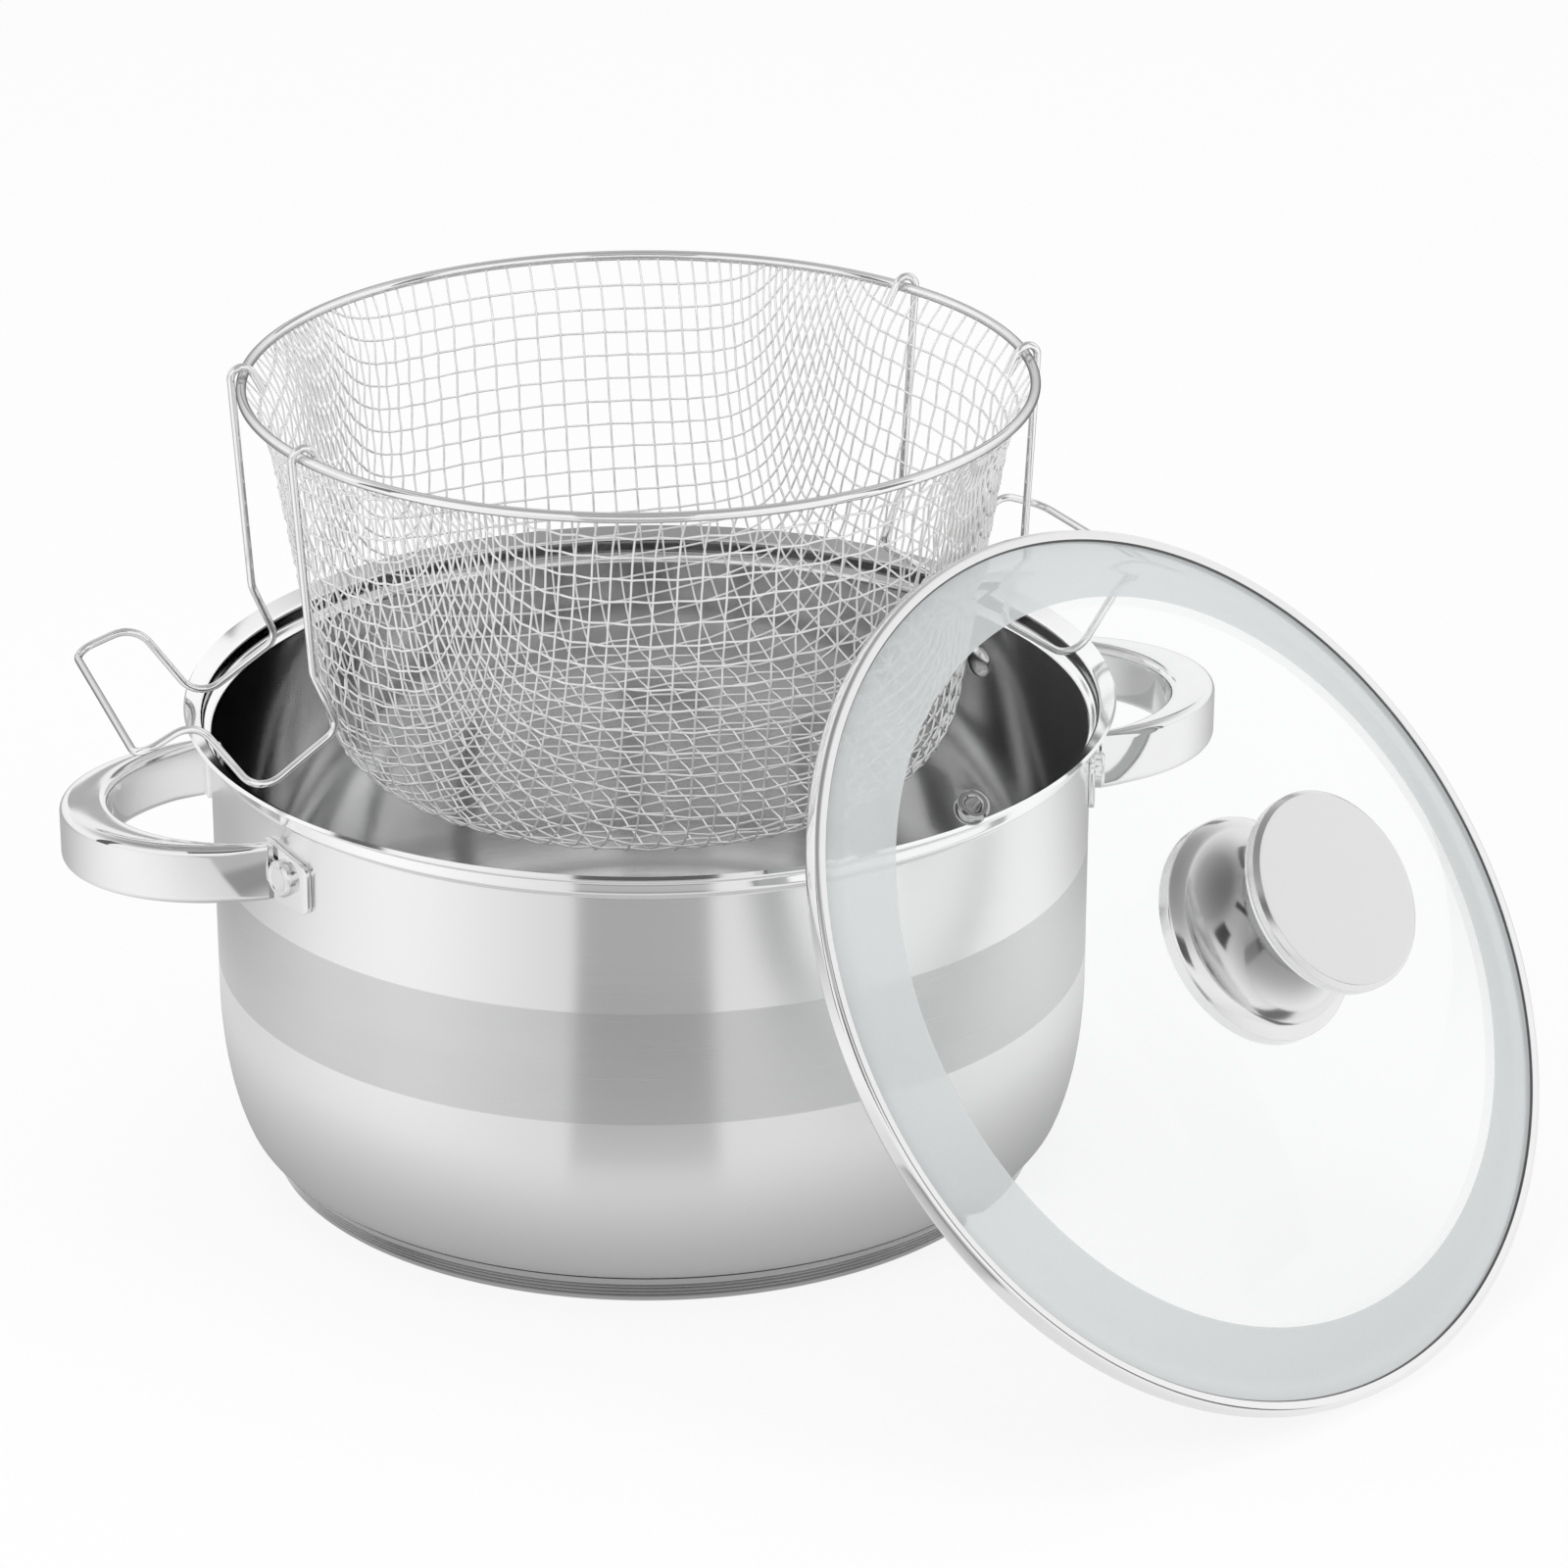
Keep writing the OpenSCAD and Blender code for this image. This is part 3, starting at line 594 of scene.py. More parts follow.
# %% [markdown]
# ## The basket's wire handles
#
# Each handle is one bent wire. Two hooks close over the rim ring, and two legs lean in along the
# wall and end in a knee and a heel. From there a dip rests on the pot's lip and an arm rises and
# falls to the grip. The line is drawn with sharp corners and every corner gets its bend as a true
# arc, as on a bending jig. The hooks stand in gaps between mesh wires, and those of the right
# handle a few wires further round.

# %% Wire handles
HANDLE_WIRE = 2.1
HOOK_PLAY = 0.3
HOOK_LEAN = radians(27)
HOOK_TAIL = 6.5
DIP_Z = LIP_Z + HANDLE_WIRE / 2 + 0.3 - 3.7
HANDLE_CORNERS = [(-0.5, 34, 162.5), (-7, 33.8, 146.4), (15.5, 35, DIP_Z), (32, 36, 154.3),
                  (48.5, 38.8, 147.3)]
HANDLE_BENDS = [9, 4.5, 7.5, 8, 5]
HANDLE_TURNS = {"right": 9.8, "left": 180}

hook_y = (mesh_point(s_ring, 5 * MESH_PITCH).y + mesh_point(s_ring, 6 * MESH_PITCH).y) / 2
hinge_x = sqrt(RING_R ** 2 - hook_y ** 2)
hook_skew = atan2(hook_y, hinge_x)
hook_r = RING_WIRE / 2 / cos(hook_skew) + HANDLE_WIRE / 2 * (1 + tan(hook_skew)) + HOOK_PLAY


def bent(corners, bends, steps=9):
    """A path whose corners are replaced by round bends."""
    path = [corners[0]]
    for before, corner, after, radius in zip(corners, corners[1:], corners[2:], bends):
        back, ahead = (before - corner).normalized(), (after - corner).normalized()
        half = back.angle(ahead) / 2
        centre = corner + (back + ahead).normalized() * radius / sin(half)
        start = (corner + back * radius / tan(half) - centre).normalized()
        end = (corner + ahead * radius / tan(half) - centre).normalized()
        path += [centre + start.slerp(end, i / steps) * radius for i in range(steps + 1)]
    return path + [corners[-1]]


def handle_path():
    """The whole wire of one handle about its hinge's middle, from tail to tail."""
    mirror = Vector((1, -1, 1))
    arm = [Vector((hook_r, hook_y, 0))] + [Vector(c) - Vector((0, 0, RING_Z)) for c in HANDLE_CORNERS]
    run = bent(arm + [p * mirror for p in arm[::-1]], HANDLE_BENDS + HANDLE_BENDS[::-1])
    angles = [(pi - HOOK_LEAN) * i / 20 for i in range(20, 0, -1)]
    hook = [Vector((hook_r * cos(a), hook_y, hook_r * sin(a))) for a in angles]
    tail = hook[0] - Vector((sin(HOOK_LEAN), 0, cos(HOOK_LEAN))) * HOOK_TAIL
    end = [tail] + hook
    return end + run + [p * mirror for p in end[::-1]]


for side, turn in HANDLE_TURNS.items():
    stand = (Matrix.Translation(BASKET_PLACE) @ Matrix.Rotation(radians(turn), 4, "Z")
             @ Matrix.Translation((hinge_x, 0, RING_Z)))
    path = [stand @ point for point in handle_path()]
    mesh_piece(f"wire_handle_{side}", wires(f"wire_handle_{side}", [path], HANDLE_WIRE / 2, 6),
               f"handle_{side}", f"basket_handle_{side}", ["bright_wire"], crease=60)
print("hooks sit", round(hook_y, 2), "mm either side of the middle, on a hinge line at", round(hinge_x, 2))

# %% [markdown]
# ## The lid
#
# The lid is modelled lying flat about its own axis and then placed as a whole, leaning outward on
# the floor beside the pot. Its glass has a flat rim, a short bend and a shallow round dome.

# %% Lid place and glass
BAND_R = 121.2
BAND_H = 5.3
BAND_LIP_R = BAND_R - 3
GLASS_T = 4
DOME_RISE = 26
RIM_IN_R = 114.5
RIM_BEND_R = 12
STUD_HOLE_R = 4
VENT_R = 82
VENT_TURN = 224
LID_LEAN = 37.1
LID_TURN = -61.6
LID_XY = (101.2, -145.2)

dome_turn = 2 * degrees(atan(DOME_RISE / RIM_IN_R))
dome_r = RIM_IN_R / sin(radians(dome_turn)) - RIM_BEND_R
dome_cz = DOME_RISE - dome_r
glass_top = DOME_RISE + GLASS_T / 2
lid_z = BAND_R * cos(radians(LID_LEAN)) + BAND_H / 2 * sin(radians(LID_LEAN)) + 0.02
lid_place = (Matrix.Translation(Vector((*LID_XY, lid_z)) * MM)
             @ Matrix.Rotation(radians(LID_TURN), 4, "Z") @ Matrix.Rotation(radians(90 - LID_LEAN), 4, "Y"))

stud_angle = 90 - degrees(asin(STUD_HOLE_R / dome_r))
glass_line = (arc((0, dome_cz), dome_r, stud_angle, 90 - dome_turn, 48)
              + arc((RIM_IN_R, RIM_BEND_R), RIM_BEND_R, 270 - dome_turn + 2, 270, 8)
              + [(BAND_R - 0.8, 0)])
glass_bm = spun(sheet(glass_line, GLASS_T))

vent_tilt = asin(VENT_R / dome_r)
vent_place = (Matrix.Translation((0, 0, dome_cz * MM)) @ Matrix.Rotation(radians(VENT_TURN), 4, "Z")
              @ Matrix.Rotation(vent_tilt, 4, "Y") @ Matrix.Translation((0, 0, dome_r * MM)))


def drilled(bm, place, radius, name):
    """Cuts a round hole through a mesh with a boolean, and returns the cut mesh."""
    whole = as_object(name, as_mesh(bm, name))
    drill_bm = bmesh.new()
    bmesh.ops.create_cone(drill_bm, segments=48, radius1=radius * MM, radius2=radius * MM, depth=20 * MM,
                          cap_ends=True)
    bmesh.ops.transform(drill_bm, matrix=place, verts=drill_bm.verts[:])
    drill = as_object("drill", as_mesh(drill_bm, "drill"))
    cut = whole.modifiers.new("hole", "BOOLEAN")
    cut.object = drill
    cut.solver = "EXACT"
    result = bpy.data.meshes.new_from_object(whole.evaluated_get(bpy.context.evaluated_depsgraph_get()))
    for obj in (whole, drill):
        bpy.data.objects.remove(obj)
    return result


glass_mesh = drilled(glass_bm, vent_place, 3.2, "lid_glass_flat")
glass_mesh.transform(lid_place)
mesh_piece("lid_dome", glass_mesh, "lid", "lid_glass", ["lid_glass"], crease=40)

# %% [markdown]
# A thin steel channel is rolled over the edge of the glass. Its outline is closed and rounded, so
# that the band shows the soft highlight of folded sheet and not a hard corner.

# %% Lid band
half = BAND_H / 2
band_line = rounded([
    (BAND_LIP_R, half - 0.3), (BAND_R - 0.3, half - 0.3), (BAND_R - 0.3, 0.3 - half),
    (BAND_LIP_R, 0.3 - half)], 1.1, 6)
piece("lid_edge_band", spun(sheet(band_line, 0.6), steps=240), "lid", "lid_band", ["mirror_steel"],
      place=lid_place, crease=50)

# %% [markdown]
# The vent is an eyelet, set through the glass like one in canvas: a tube with a rolled collar on
# each face. Steam leaves through it.

# %% Steam vent
VENT_HOLE_R = 2.2
VENT_TUBE_R = 3.15
VENT_FLANGE_R = 4.35
top, under = GLASS_T / 2, -GLASS_T / 2
vent_outline = rounded([
    (VENT_TUBE_R, under - 0.08), (VENT_TUBE_R, top + 0.03), (VENT_FLANGE_R, top + 0.03),
    (VENT_FLANGE_R, top + 0.6), (VENT_FLANGE_R - 0.7, top + 1.0), (VENT_HOLE_R + 0.5, top + 1.0),
    (VENT_HOLE_R, top + 0.5),
    (VENT_HOLE_R, under - 0.5), (VENT_HOLE_R + 0.4, under - 0.9), (VENT_FLANGE_R - 0.3, under - 0.85),
    (VENT_FLANGE_R, under - 0.08), (VENT_TUBE_R + 0.05, under - 0.08)], 0.25, 4)
piece("steam_vent", spun(vent_outline, steps=64), "lid", "vent_eyelet", ["painted_shade_steel"],
      place=lid_place @ vent_place, crease=50)

# %% [markdown]
# ## The knob
#
# The knob is spun from sheet: a broad foot that rests on the glass sweeps in to a waist and out
# again to carry a turned cap. The sweep is two quarter ellipses. The cap is a separate piece whose
# edge shows as a fine line under its rim.

# %% Knob
KNOB_FOOT_R = 30.5
KNOB_H = 32.5
KNOB_T = 1
KNOB_CAP_R = 27
KNOB_CAP_H = 3.5
NECK_R = 15
knob_foot_z = dome_cz + sqrt((dome_r + GLASS_T / 2) ** 2 - KNOB_FOOT_R ** 2) + 0.05
knob_top = glass_top + KNOB_H

knob_line = (
    rounded([(KNOB_FOOT_R - KNOB_T / 2, knob_foot_z), (KNOB_FOOT_R - KNOB_T / 2, knob_foot_z + 3.4),
             (KNOB_FOOT_R - 2.6, glass_top + 3.85)], 1.2, 5)[:-1]
    + oval((KNOB_FOOT_R - 1.5, glass_top + 17), (KNOB_FOOT_R - 1.5 - NECK_R, 13.2), 262, 180, 24)
    + oval((KNOB_CAP_R - 1.5, glass_top + 19),
           (KNOB_CAP_R - 1.5 - NECK_R, KNOB_H - KNOB_CAP_H - 19.5), 180, 90, 20)
    + [(KNOB_CAP_R - 0.2, knob_top - KNOB_CAP_H - 0.5)])
piece("knob_foot", spun(sheet(knob_line, KNOB_T)), "lid", "knob_base", ["spun_steel"],
      place=lid_place, crease=50)

cap_low = knob_top - KNOB_CAP_H
cap_outline = ([(0, knob_top - KNOB_T), (KNOB_CAP_R - 1.8, knob_top - KNOB_T),
                (KNOB_CAP_R - KNOB_T, knob_top - 1.9), (KNOB_CAP_R - KNOB_T, cap_low)]
               + rounded([(KNOB_CAP_R - 0.3, cap_low), (KNOB_CAP_R, cap_low + 0.3),
                          (KNOB_CAP_R, knob_top - 1.2), (KNOB_CAP_R - 1.3, knob_top),
                          (KNOB_CAP_R - 3, knob_top)], 0.5, 6)
               + [(KNOB_CAP_R - 6, knob_top), (0, knob_top)])
piece("knob_cap_disc", spun(cap_outline, closed=False), "lid", "knob_cap", ["satin_cap"],
      place=lid_place, crease=35)

# %% [markdown]
# ## Finishes
#
# Shader maths is easier to read as sums than as wired boxes. The small class below wraps a socket
# so that Python's own operators add Math nodes. Everything else goes through one helper that adds
# any node, sets its options first and then its inputs.

# %% Shader helpers
class Sum:
    """A number socket that can be added, multiplied and compared in Python."""

    def __init__(self, shop, socket):
        self.shop, self.socket = shop, socket

    def math(self, operation, other=0.0, swap=False):
        pair = (other, self) if swap else (self, other)
        return self.shop.number("ShaderNodeMath", {"operation": operation}, {0: pair[0], 1: pair[1]})

    def __add__(self, other):
        return self.math("ADD", other)

    __radd__ = __add__

    def __sub__(self, other):
        return self.math("SUBTRACT", other)

    def __rsub__(self, other):
        return self.math("SUBTRACT", other, True)

    def __mul__(self, other):
        return self.math("MULTIPLY", other)

    def __truediv__(self, other):
        return self.math("DIVIDE", other)

    def __gt__(self, other):
        return self.math("GREATER_THAN", other)

    def step(self, low, high):
        """Rises softly from 0 at low to 1 at high."""
        return self.shop.number("ShaderNodeMapRange", {"interpolation_type": "SMOOTHSTEP", "clamp": True},
                                {"Value": self, "From Min": low, "From Max": high})

    def between(self, rise, fall):
        """Rises softly over the first pair of values and falls again over the second."""
        return self.step(*rise) * (1 - self.step(*fall))


class Shop:
    """One material, or the world, under construction."""

    def __init__(self, name, owner=None):
        self.name = name
        self.owner = owner or bpy.data.materials.new(name)
        self.owner.use_nodes = True
        self.tree = self.owner.node_tree
        self.tree.nodes.clear()

    def node(self, kind, options=None, inputs=None):
        made = self.tree.nodes.new(kind)
        for key, value in (options or {}).items():
            setattr(made, key, value)
        for key, value in (inputs or {}).items():
            if isinstance(value, Sum):
                value = value.socket
            if isinstance(value, bpy.types.NodeSocket):
                self.tree.links.new(value, made.inputs[key])
            else:
                made.inputs[key].default_value = value
        return made

    def number(self, kind, options=None, inputs=None, output=0):
        return Sum(self, self.node(kind, options, inputs).outputs[output])

    def place(self):
        """The point's place on the object, in metres."""
        return self.node("ShaderNodeTexCoord").outputs["Object"]

    def parts_of(self, vector):
        split = self.node("ShaderNodeSeparateXYZ", inputs={0: vector})
        return [Sum(self, s) for s in split.outputs]

    def joined(self, x, y, z):
        return self.node("ShaderNodeCombineXYZ", inputs={0: x, 1: y, 2: z}).outputs[0]

    def noise(self, vector, scale, detail=2.0, rough=0.5):
        return self.number("ShaderNodeTexNoise", {}, {"Vector": vector, "Scale": scale, "Detail": detail,
                                                      "Roughness": rough})

    def mixed(self, amount, a, b, blend="MIX"):
        """One colour mixed of two, which are the node's inputs 6 and 7."""
        options = {"data_type": "RGBA", "blend_type": blend}
        return self.node("ShaderNodeMix", options, {"Factor": amount, 6: a, 7: b}).outputs[2]

    def ramp(self, value, stops):
        """A grey ramp through (place, shade) stops."""
        made = self.node("ShaderNodeValToRGB", {}, {"Fac": value})
        elements = made.color_ramp.elements
        while len(elements) < len(stops):
            elements.new(0.5)
        for element, (place, shade) in zip(elements, stops):
            element.position, element.color = place, grey(shade)
        return Sum(self, made.outputs["Color"])

    def bump(self, height, strength, distance):
        inputs = {"Height": height, "Strength": strength, "Distance": distance}
        return self.node("ShaderNodeBump", {}, inputs).outputs[0]

    def rays(self):
        """Whether a ray comes from the camera, from a mirrored bounce or through glass."""
        seen = self.node("ShaderNodeLightPath")
        return [Sum(self, seen.outputs[f"Is {kind} Ray"]) for kind in ("Camera", "Glossy", "Transmission")]

    def surface(self, shader):
        kind = "World" if isinstance(self.owner, bpy.types.World) else "Material"
        self.node("ShaderNodeOutput" + kind, {}, {"Surface": shader.outputs[0]})
        return self.owner

    def finish(self, inputs):
        """Makes this an opaque finish and keeps it under its own name."""
        finishes[self.name] = self.surface(self.node("ShaderNodeBsdfPrincipled", {}, inputs))


def grey(value, tint=(1, 1, 1)):
    """A nearly neutral colour."""
    return (value * tint[0], value * tint[1], value * tint[2], 1)


def lid_parts(shop):
    """Radius from the lid's axis and height along it, for a point on the leaning lid."""
    away = shop.node("ShaderNodeVectorMath", {"operation": "SUBTRACT"},
                     {0: shop.place(), 1: lid_place.translation}).outputs[0]
    axis = lid_place.to_3x3() @ Vector((0, 0, 1))
    height = shop.number("ShaderNodeVectorMath", {"operation": "DOT_PRODUCT"}, {0: away, 1: axis}, "Value")
    full = shop.number("ShaderNodeVectorMath", {"operation": "LENGTH"}, {0: away}, "Value")
    return (full * full - height * height).math("POWER", 0.5), height


finishes = {}
print("shader helpers ready")

# %% [markdown]
# ### Satin steel
#
# The pot's outside is ground round and round with a fine belt. Its lines are far too fine to see
# one by one, but they smear every reflection up and down, which makes the soft upright streaks of
# a brushed pot. The pattern is noise on the wall's height with almost no change along the turn. A
# wide band round the middle is ground coarser and reads a shade darker. The line where the body
# meets the base cover is a painted shadow, because the gap itself is too narrow to see.

# %% Satin steel
BAND_LOW = 59
BAND_HIGH = 91
BAND_EDGE = 0.25
WALL_TONE, BAND_TONE, SEAM_SHADOW_TONE = 0.93, 0.74, 0.08
SEAM_Z = underside(COVER_TOP_R)


def turned_grain(shop, scale, along=0.004):
    """Fine noise that runs in rings about the pot's axis."""
    x, y, z = shop.parts_of(shop.place())
    around = y.math("ARCTAN2", x)
    return shop.noise(shop.joined(around * (along * POT_R * MM), 0.0, z), scale, 3.0, 0.6), z


shop = Shop("satin_steel")
fine, height = turned_grain(shop, 9000)
coarse, _ = turned_grain(shop, 2600)
wide, _ = turned_grain(shop, 60, 0.3)
in_band = height.between(((BAND_LOW - BAND_EDGE) * MM, (BAND_LOW + BAND_EDGE) * MM),
                         ((BAND_HIGH - BAND_EDGE) * MM, (BAND_HIGH + BAND_EDGE) * MM))
# Painted shadow: a dark line on the body just above its joint with the base cover.
seam_shadow = 1 - height.step((SEAM_Z + 0.3) * MM, (SEAM_Z + 0.45) * MM)
plain_wall = shop.mixed(seam_shadow, grey(WALL_TONE), grey(SEAM_SHADOW_TONE))
tone = shop.mixed(in_band, plain_wall, grey(BAND_TONE, (1, 1, 1.01)))
streaks = shop.mixed((wide - 0.5) * in_band + 0.5, grey(0.92), grey(1.0))
rough = in_band * 0.06 + 0.2 + (coarse - 0.5) * 0.08
shop.finish({
    "Base Color": shop.mixed(1.0, tone, streaks, "MULTIPLY"), "Metallic": 1.0, "Roughness": rough,
    "Anisotropic": 0.85, "Anisotropic Rotation": 0.25,
    "Normal": shop.bump(fine * 0.6 + coarse * 0.4, 0.35, 0.00002)})

# %% [markdown]
# ### Polished and plain steels
#
# Handles, band and lugs are buffed to a mirror with the faintest haze, the knob and rivets a little
# less. The inside of the pot is polished too but shows the drawing marks as wide soft rings. The
# base cover is left as turned. The wires are bright, with a slight ripple that breaks up their
# reflections.
#
# Some of the darkness here is painted by place and not mirrored, because this plain room has too
# little in it to darken a hollow: the collar above the lid's seat, patches of the pot's wall, the
# waist of the knob, the grooves of the base and the vent. The seat and the pot's floor are painted
# lighter in the same way, and the mesh wire is only part metal, so that so fine a wire doesn't
# vanish against the pot. In a furnished room all of these would be one steel.

# %% Steels
POT_FLOOR_LIGHT_TONE, SEAT_LIGHT_TONE, COLLAR_SHADE_TONE = 0.96, 0.97, 0.22
WALL_SHADE_TONES = (0.5, 0.86)
WAIST_SHADE_TONE, GROOVE_SHADE_TONE = 0.34, 0.3


def hazed_metal(name, scale, tones, haze_rough, least_rough, detail=3.0, metal=1.0, edge=None):
    """A metal whose colour and roughness waver a little with one soft noise."""
    shop = Shop(name)
    haze = shop.noise(shop.place(), scale, detail)
    inputs = {"Base Color": shop.mixed(haze, grey(tones[0]), grey(tones[1])), "Metallic": metal,
              "Roughness": haze * haze_rough + least_rough}
    if edge is not None:
        inputs["Specular Tint"] = grey(edge)
    shop.finish(inputs)


hazed_metal("mirror_steel", 140, (0.86, 0.90), 0.06, 0.04)
hazed_metal("soft_steel", 90, (0.80, 0.86), 0.08, 0.13)
# The vent's steel is painted dark as shade.
hazed_metal("painted_shade_steel", 140, (0.42, 0.5), 0.06, 0.08)

shop = Shop("spun_steel")
knob_r, _ = lid_parts(shop)
haze = shop.noise(shop.place(), 90, 3.0)
# Painted shade: the knob's waist is darker, where it would mirror the foot and the cap.
waist = 1 - knob_r.step(15.5 * MM, 25 * MM)
bare = shop.mixed(haze, grey(0.80), grey(0.86))
shop.finish({
    "Base Color": shop.mixed(waist, bare, grey(WAIST_SHADE_TONE)), "Metallic": 1.0,
    "Roughness": haze * 0.08 + 0.1})

shop = Shop("pot_inside")
rings, height = turned_grain(shop, 700)
x, y, _ = shop.parts_of(shop.place())
# Painted reflections inside: the collar above the seat is painted dark, the wall gets dark patches, and the
# floor and the seat are painted light.
inner = 1 - ((x * x + y * y).math("POWER", 0.5) > collar_mid * MM)
collar = inner * (height > (SEAT_Z + 0.9) * MM) * (1 - (height > (LIP_Z - 3.2) * MM))
patches = shop.mixed(shop.noise(shop.place(), 25, 2.0), grey(WALL_SHADE_TONES[0]), grey(WALL_SHADE_TONES[1]))
wall = shop.mixed(height.step(18 * MM, 40 * MM), grey(POT_FLOOR_LIGHT_TONE), patches)
seated = shop.mixed(height > (SEAT_Z - 1) * MM, wall, grey(SEAT_LIGHT_TONE))
shop.finish({
    "Base Color": shop.mixed(collar, seated, grey(COLLAR_SHADE_TONE)), "Metallic": 1.0,
    "Roughness": rings * 0.06 + 0.07, "Normal": shop.bump(rings, 0.25, 0.00002)})

shop = Shop("turned_steel")
lathe, height = turned_grain(shop, 3000)
turn = (height / MM - GROOVE_Z) / GROOVE_PITCH
# Painted shade in the bottoms of the grooves, and a painted shadow along the cover's top edge under the pot.
depth = turn.math("FRACT").between((0.0, 0.1), (0.3, 0.45))
seam_shadow = height.step((SEAM_Z - 0.3) * MM, (SEAM_Z - 0.15) * MM)
groove_shade = depth * (turn > 0) * (1 - (turn > GROOVES)) + seam_shadow
ridge = shop.mixed(lathe, grey(0.76), grey(0.86))
shop.finish({
    "Base Color": shop.mixed(groove_shade.math("MINIMUM", 1.0), ridge, grey(GROOVE_SHADE_TONE)),
    "Metallic": 1.0, "Roughness": lathe * 0.1 + 0.2})

hazed_metal("bright_wire", 300, (0.9, 0.97), 0.05, 0.03, detail=2.0, metal=0.9, edge=0.2)
hazed_metal("mesh_wire", 420, (0.92, 1.0), 0.12, 0.16, detail=2.0, metal=0.45, edge=0.3)

# %% [markdown]
# The knob's cap is ground in circles about its own axis, so its grain follows the lid's lean.

# %% Knob cap steel
shop = Shop("satin_cap")
cap_r, _ = lid_parts(shop)
circles = shop.noise(shop.joined(cap_r, 0.0, 0.0), 5000, 3.0, 0.6)
shop.finish({
    "Base Color": shop.mixed(circles, grey(0.78), grey(0.84)), "Metallic": 1.0,
    "Roughness": circles * 0.08 + 0.2, "Normal": shop.bump(circles, 0.2, 0.00002)})

# %% [markdown]
# ### Glass
#
# The glass is clear in its middle and etched round its edge. Etching scatters light, so that ring
# reads as a pale grey veil. It could be a separate thin ring, but the real one is in the surface of
# the same sheet, so one material mixes clear and etched glass by the distance from the lid's axis.
# Only the upper face is etched, so what lies behind still shows a little. The dark line under the
# band's lip is a painted shadow, and the veil is painted a little darker towards the band as shade.

# %% Lid glass
FROST_R = 100
FROST_VEIL = 0.8
LIP_SHADOW_TONE = 0.12
shop = Shop("lid_glass")
glass_r, glass_z = lid_parts(shop)
middle = ((dome_r * MM) ** 2 - glass_r * glass_r).math("POWER", 0.5) + dome_cz * MM
upper = glass_z - middle.math("MAXIMUM", 0.0) > 0.0
etched = glass_r.step((FROST_R - 0.15) * MM, (FROST_R + 0.15) * MM) * upper
# Painted shadow: a dark line just inside the band's lip, with a faint painted shade over the last 4 mm.
lip_shadow = glass_r.step((BAND_LIP_R - 0.6) * MM, (BAND_LIP_R - 0.35) * MM) * upper
shaded = glass_r.step((BAND_LIP_R - 4) * MM, BAND_LIP_R * MM)
speckle = shop.noise(shop.place(), 2500, 2.0)
clear = shop.node("ShaderNodeBsdfPrincipled", {}, {
    "Base Color": (0.985, 0.995, 0.99, 1), "Roughness": 0.0, "IOR": 1.5, "Transmission Weight": 1.0,
    "Specular Tint": grey(0.15)})
frost = shop.mixed(speckle, (0.58, 0.61, 0.615, 1), (0.64, 0.665, 0.67, 1))
edge_shade = (shaded * 0.1 + lip_shadow).math("MINIMUM", 1.0)
veil = shop.node("ShaderNodeBsdfPrincipled", {}, {
    "Base Color": shop.mixed(edge_shade, frost, grey(LIP_SHADOW_TONE)),
    "Roughness": speckle * 0.1 + 0.3, "IOR": 1.5})
finishes["lid_glass"] = shop.surface(shop.node("ShaderNodeMixShader", {}, {
    0: etched * FROST_VEIL + lip_shadow * (1 - FROST_VEIL), 1: clear.outputs[0], 2: veil.outputs[0]}))

# %% [markdown]
# The seal under the knob is silicone rubber and the disc in the base is plain aluminium.

# %% Rubber and aluminium
shop = Shop("silicone_seal")
dust = shop.noise(shop.place(), 900, 3.0)
shop.finish({
    "Base Color": shop.mixed(dust, grey(0.20), grey(0.26)), "Roughness": dust * 0.2 + 0.5,
    "Normal": shop.bump(dust, 0.2, 0.00005)})

hazed_metal("plain_aluminium", 600, (0.62, 0.72), 0.15, 0.3)
print("finishes:", ", ".join(sorted(finishes)))

# %% [markdown]
# ## Putting the finishes on
#
# New pieces take the finish that was named when they were made. The frame's own small parts keep
# their shape and only change material.

# %% Assign finishes
for name, wanted in materials_wanted.items():
    obj = bpy.data.objects[name]
    for finish in wanted:
        obj.data.materials.append(finishes[finish])

FRAME_FINISHES = {
    "base_core": "plain_aluminium", "knob_insert": "plain_aluminium", "knob_gasket": "silicone_seal",
    "knob_washer": "mirror_steel", "knob_screw": "mirror_steel"}
for node, finish in FRAME_FINISHES.items():
    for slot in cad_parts[node].material_slots:
        slot.material = finishes[finish]
print("dressed", len(materials_wanted), "new pieces and", len(FRAME_FINISHES), "frame parts")

# %% [markdown]
# ## Floor, light and what the steel sees
#
# Polished steel has hardly any colour of its own: it shows the room. A white room alone would
# leave it blank, so a few dark cards stand out of view, as in a product studio, and draw the dark
# lines that give the metal its shape. The cards show only in reflections.
#
# The floor's mirror image is toned as well: white to both sides, dimmer in front, dark behind and
# under the pot, with one dark strip in front. It could be done with more cards, but soft edges on
# the floor are fewer things to place. It is laid out from the camera's side and set to suit that
# one view. Seen from elsewhere, the strip shows on another part of the wall or not at all.

# %% Floor and world
view_way = Vector((sin(radians(CAMERA_RIGHT)), cos(radians(CAMERA_RIGHT)), 0))
view_side = Vector((view_way.y, -view_way.x, 0))

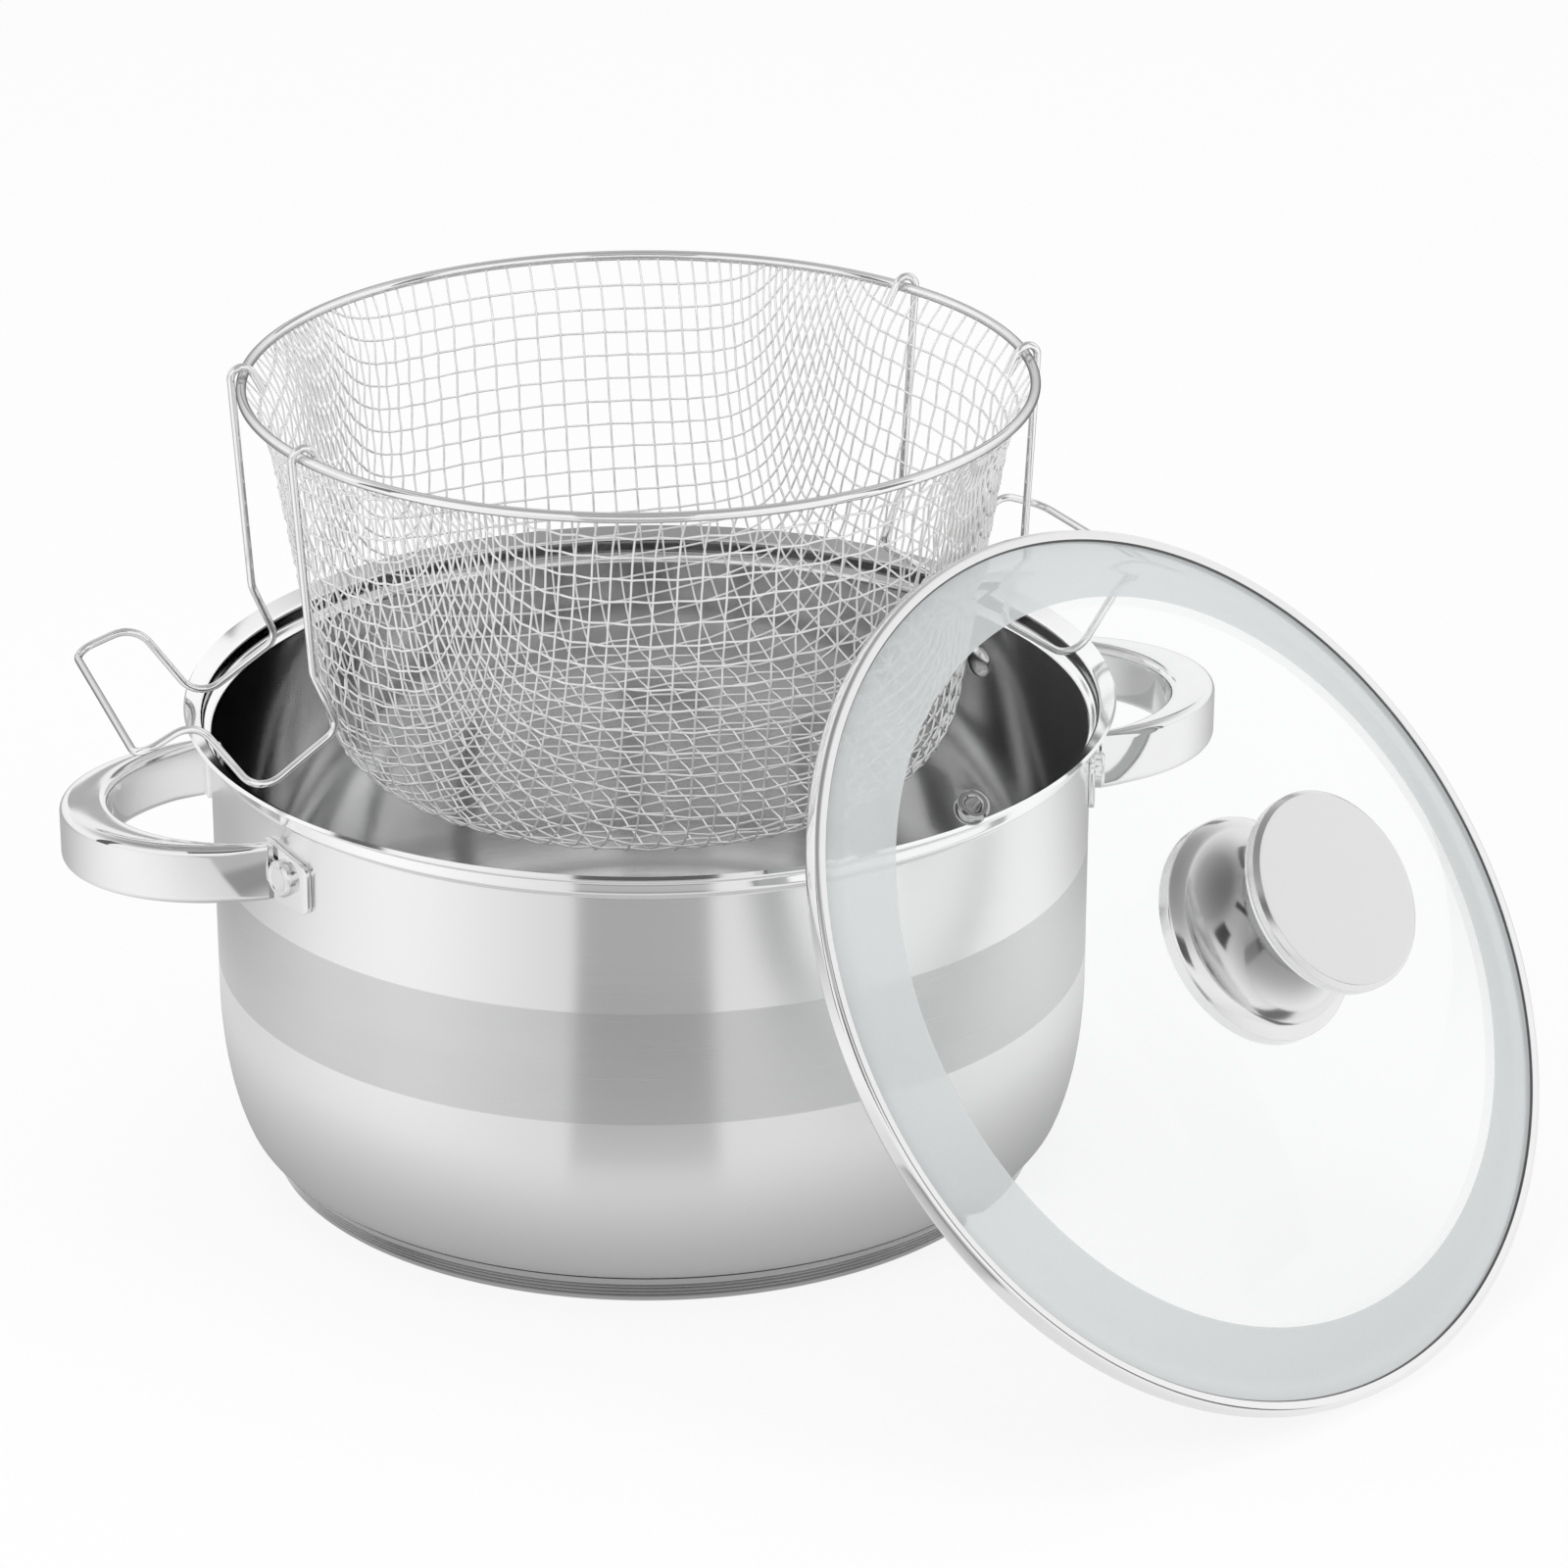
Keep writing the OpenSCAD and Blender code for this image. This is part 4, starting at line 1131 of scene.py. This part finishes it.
# Tones of the floor's mirror image. Bearings are in degrees to the right of the camera's side,
# distances in metres from the pot's axis, and each change is one soft edge between two of them.
BEHIND_DIM, LIT_EDGES = 0.58, ((-126, -58), (95, 143))
FRONT_DIM, FRONT_EDGES = 0.32, ((-58, -4), (-8, 64))
UNDER_TONE, NEAR_TONE = 0.3, 0.82
UNDER_EDGE, FAR_EDGE = (0.08, 0.22), (0.17, 0.27)
STRIP_EDGES = ((-15.7, -13.5), (12, 15.6))
STRIP_DIM, STRIP_NEAR = 0.7, (0.18, 0.27)
STRIP_LIFT, STRIP_FAR = 0.32, (0.33, 0.38)
FLOOR_GLOW = 0.86
ROOM_LIGHT = 0.62
ROOM_SHADES = [(0, 0.9), (0.35, 1), (0.6, 0.9), (0.85, 0.4), (1, 0.3)]

floor_bm = bmesh.new()
bmesh.ops.create_grid(floor_bm, x_segments=1, y_segments=1, size=6)
floor_mesh = as_mesh(floor_bm, "floor")
as_object("floor", floor_mesh)

shop = Shop("floor_white")
plain = shop.node("ShaderNodeBsdfDiffuse", {}, {"Color": grey(0.9)})
camera_ray, glint, through = shop.rays()
white = (camera_ray + through + glint).math("MINIMUM", 1.0) * FLOOR_GLOW

x, y, _ = shop.parts_of(shop.place())
right = x * view_side.x + y * view_side.y
toward = (x * view_way.x + y * view_way.y) * -1
bearing = right.math("ARCTAN2", toward) * (180 / pi)
away = (x * x + y * y).math("POWER", 0.5)
far_tone = 1 - (1 - bearing.between(*LIT_EDGES)) * BEHIND_DIM - bearing.between(*FRONT_EDGES) * FRONT_DIM
near_tone = UNDER_TONE + away.step(*UNDER_EDGE) * (NEAR_TONE - UNDER_TONE)
around_floor = near_tone + (far_tone - near_tone) * away.step(*FAR_EDGE)
strip_depth = away.step(*STRIP_NEAR) * STRIP_DIM - away.step(*STRIP_FAR) * STRIP_LIFT
mirrored = around_floor * (1 - bearing.between(*STRIP_EDGES) * strip_depth)
shown = shop.mixed(glint * (1 - through), grey(1.0), mirrored)
lit = shop.node("ShaderNodeEmission", {}, {"Color": shown, "Strength": 1.0})
floor_mesh.materials.append(shop.surface(shop.node("ShaderNodeMixShader", {}, {
    0: white, 1: plain.outputs[0], 2: lit.outputs[0]})))

world = bpy.data.worlds.new("room")
bpy.context.scene.world = world
shop = Shop("room", world)
camera_ray, glint, through = shop.rays()
_, _, up = shop.parts_of(shop.node("ShaderNodeTexCoord").outputs["Generated"])
sky = shop.ramp(up, ROOM_SHADES)
shown = shop.mixed(glint * (1 - through), grey(1.0), sky)
level = (camera_ray + glint + through).math("MINIMUM", 1.0) * (1 - ROOM_LIGHT) + ROOM_LIGHT
shop.surface(shop.node("ShaderNodeBackground", {}, {"Color": shown, "Strength": level}))
print("floor and room are white where they are seen")

# %% Lamps
POT_MIDDLE = Vector((0, 0, 0.1))


def softbox(name, place, size, power):
    """A large soft lamp, aimed at the pot."""
    lamp_data = bpy.data.lights.new(name, "AREA")
    lamp_data.shape = "RECTANGLE"
    lamp_data.size, lamp_data.size_y = size
    lamp_data.energy = power
    lamp = as_object(name, lamp_data)
    lamp.location = place
    lamp.visible_glossy = False
    lamp.visible_transmission = False
    lamp.rotation_euler = (Vector(place) - POT_MIDDLE).to_track_quat("Z", "Y").to_euler()


softbox("softbox_left", (-1.6, -1.0, 1.3), (1.2, 1.6), 14)
softbox("softbox_right", (1.5, -1.3, 1.4), (1.0, 1.4), 10)
softbox("softbox_top", (0, 0.3, 2.2), (1.6, 1.6), 12)


def card(name, place, size, shade):
    """A flat card that only reflections see, facing the pot."""
    bm = bmesh.new()
    bmesh.ops.create_grid(bm, x_segments=1, y_segments=1, size=0.5)
    bmesh.ops.scale(bm, vec=(size[0], size[1], 1), verts=bm.verts[:])
    turn = (POT_MIDDLE - Vector(place)).to_track_quat("Z", "Y").to_matrix().to_4x4()
    bmesh.ops.transform(bm, matrix=Matrix.Translation(place) @ turn, verts=bm.verts[:])
    mesh = as_mesh(bm, name)
    obj = as_object(name, mesh)
    paint = Shop(name + "_paint")
    glow = paint.node("ShaderNodeEmission", {}, {"Color": grey(shade), "Strength": 1.0})
    mesh.materials.append(paint.surface(glow))
    obj.visible_camera = False
    obj.visible_diffuse = False
    obj.visible_shadow = False
    obj.visible_transmission = False


def around(side, toward, up):
    """A place given as seen from the camera: to the right, toward it and up, in metres."""
    return view_side * side - view_way * toward + Vector((0, 0, up))


card("card_front", around(0, 2.2, 1.7), (1.4, 0.9), 0.10)
card("card_left", around(-2.2, 0.6, 0.9), (0.5, 1.8), 0.12)
card("card_right", around(2.2, 0.6, 0.9), (0.5, 1.8), 0.15)
card("card_back", around(0.2, -1.8, 1.5), (1.6, 0.4), 0.25)
card("card_low", around(-0.45, -2.2, 1.05), (0.5, 0.16), 0.45)

# %% [markdown]
# ## Closing
#
# The view transform stays plain, so that colours render as they are written.

# %% Finish
bpy.context.scene.view_settings.view_transform = "Standard"
print("pot wall uses", [m.name for m in pot_wall.data.materials])
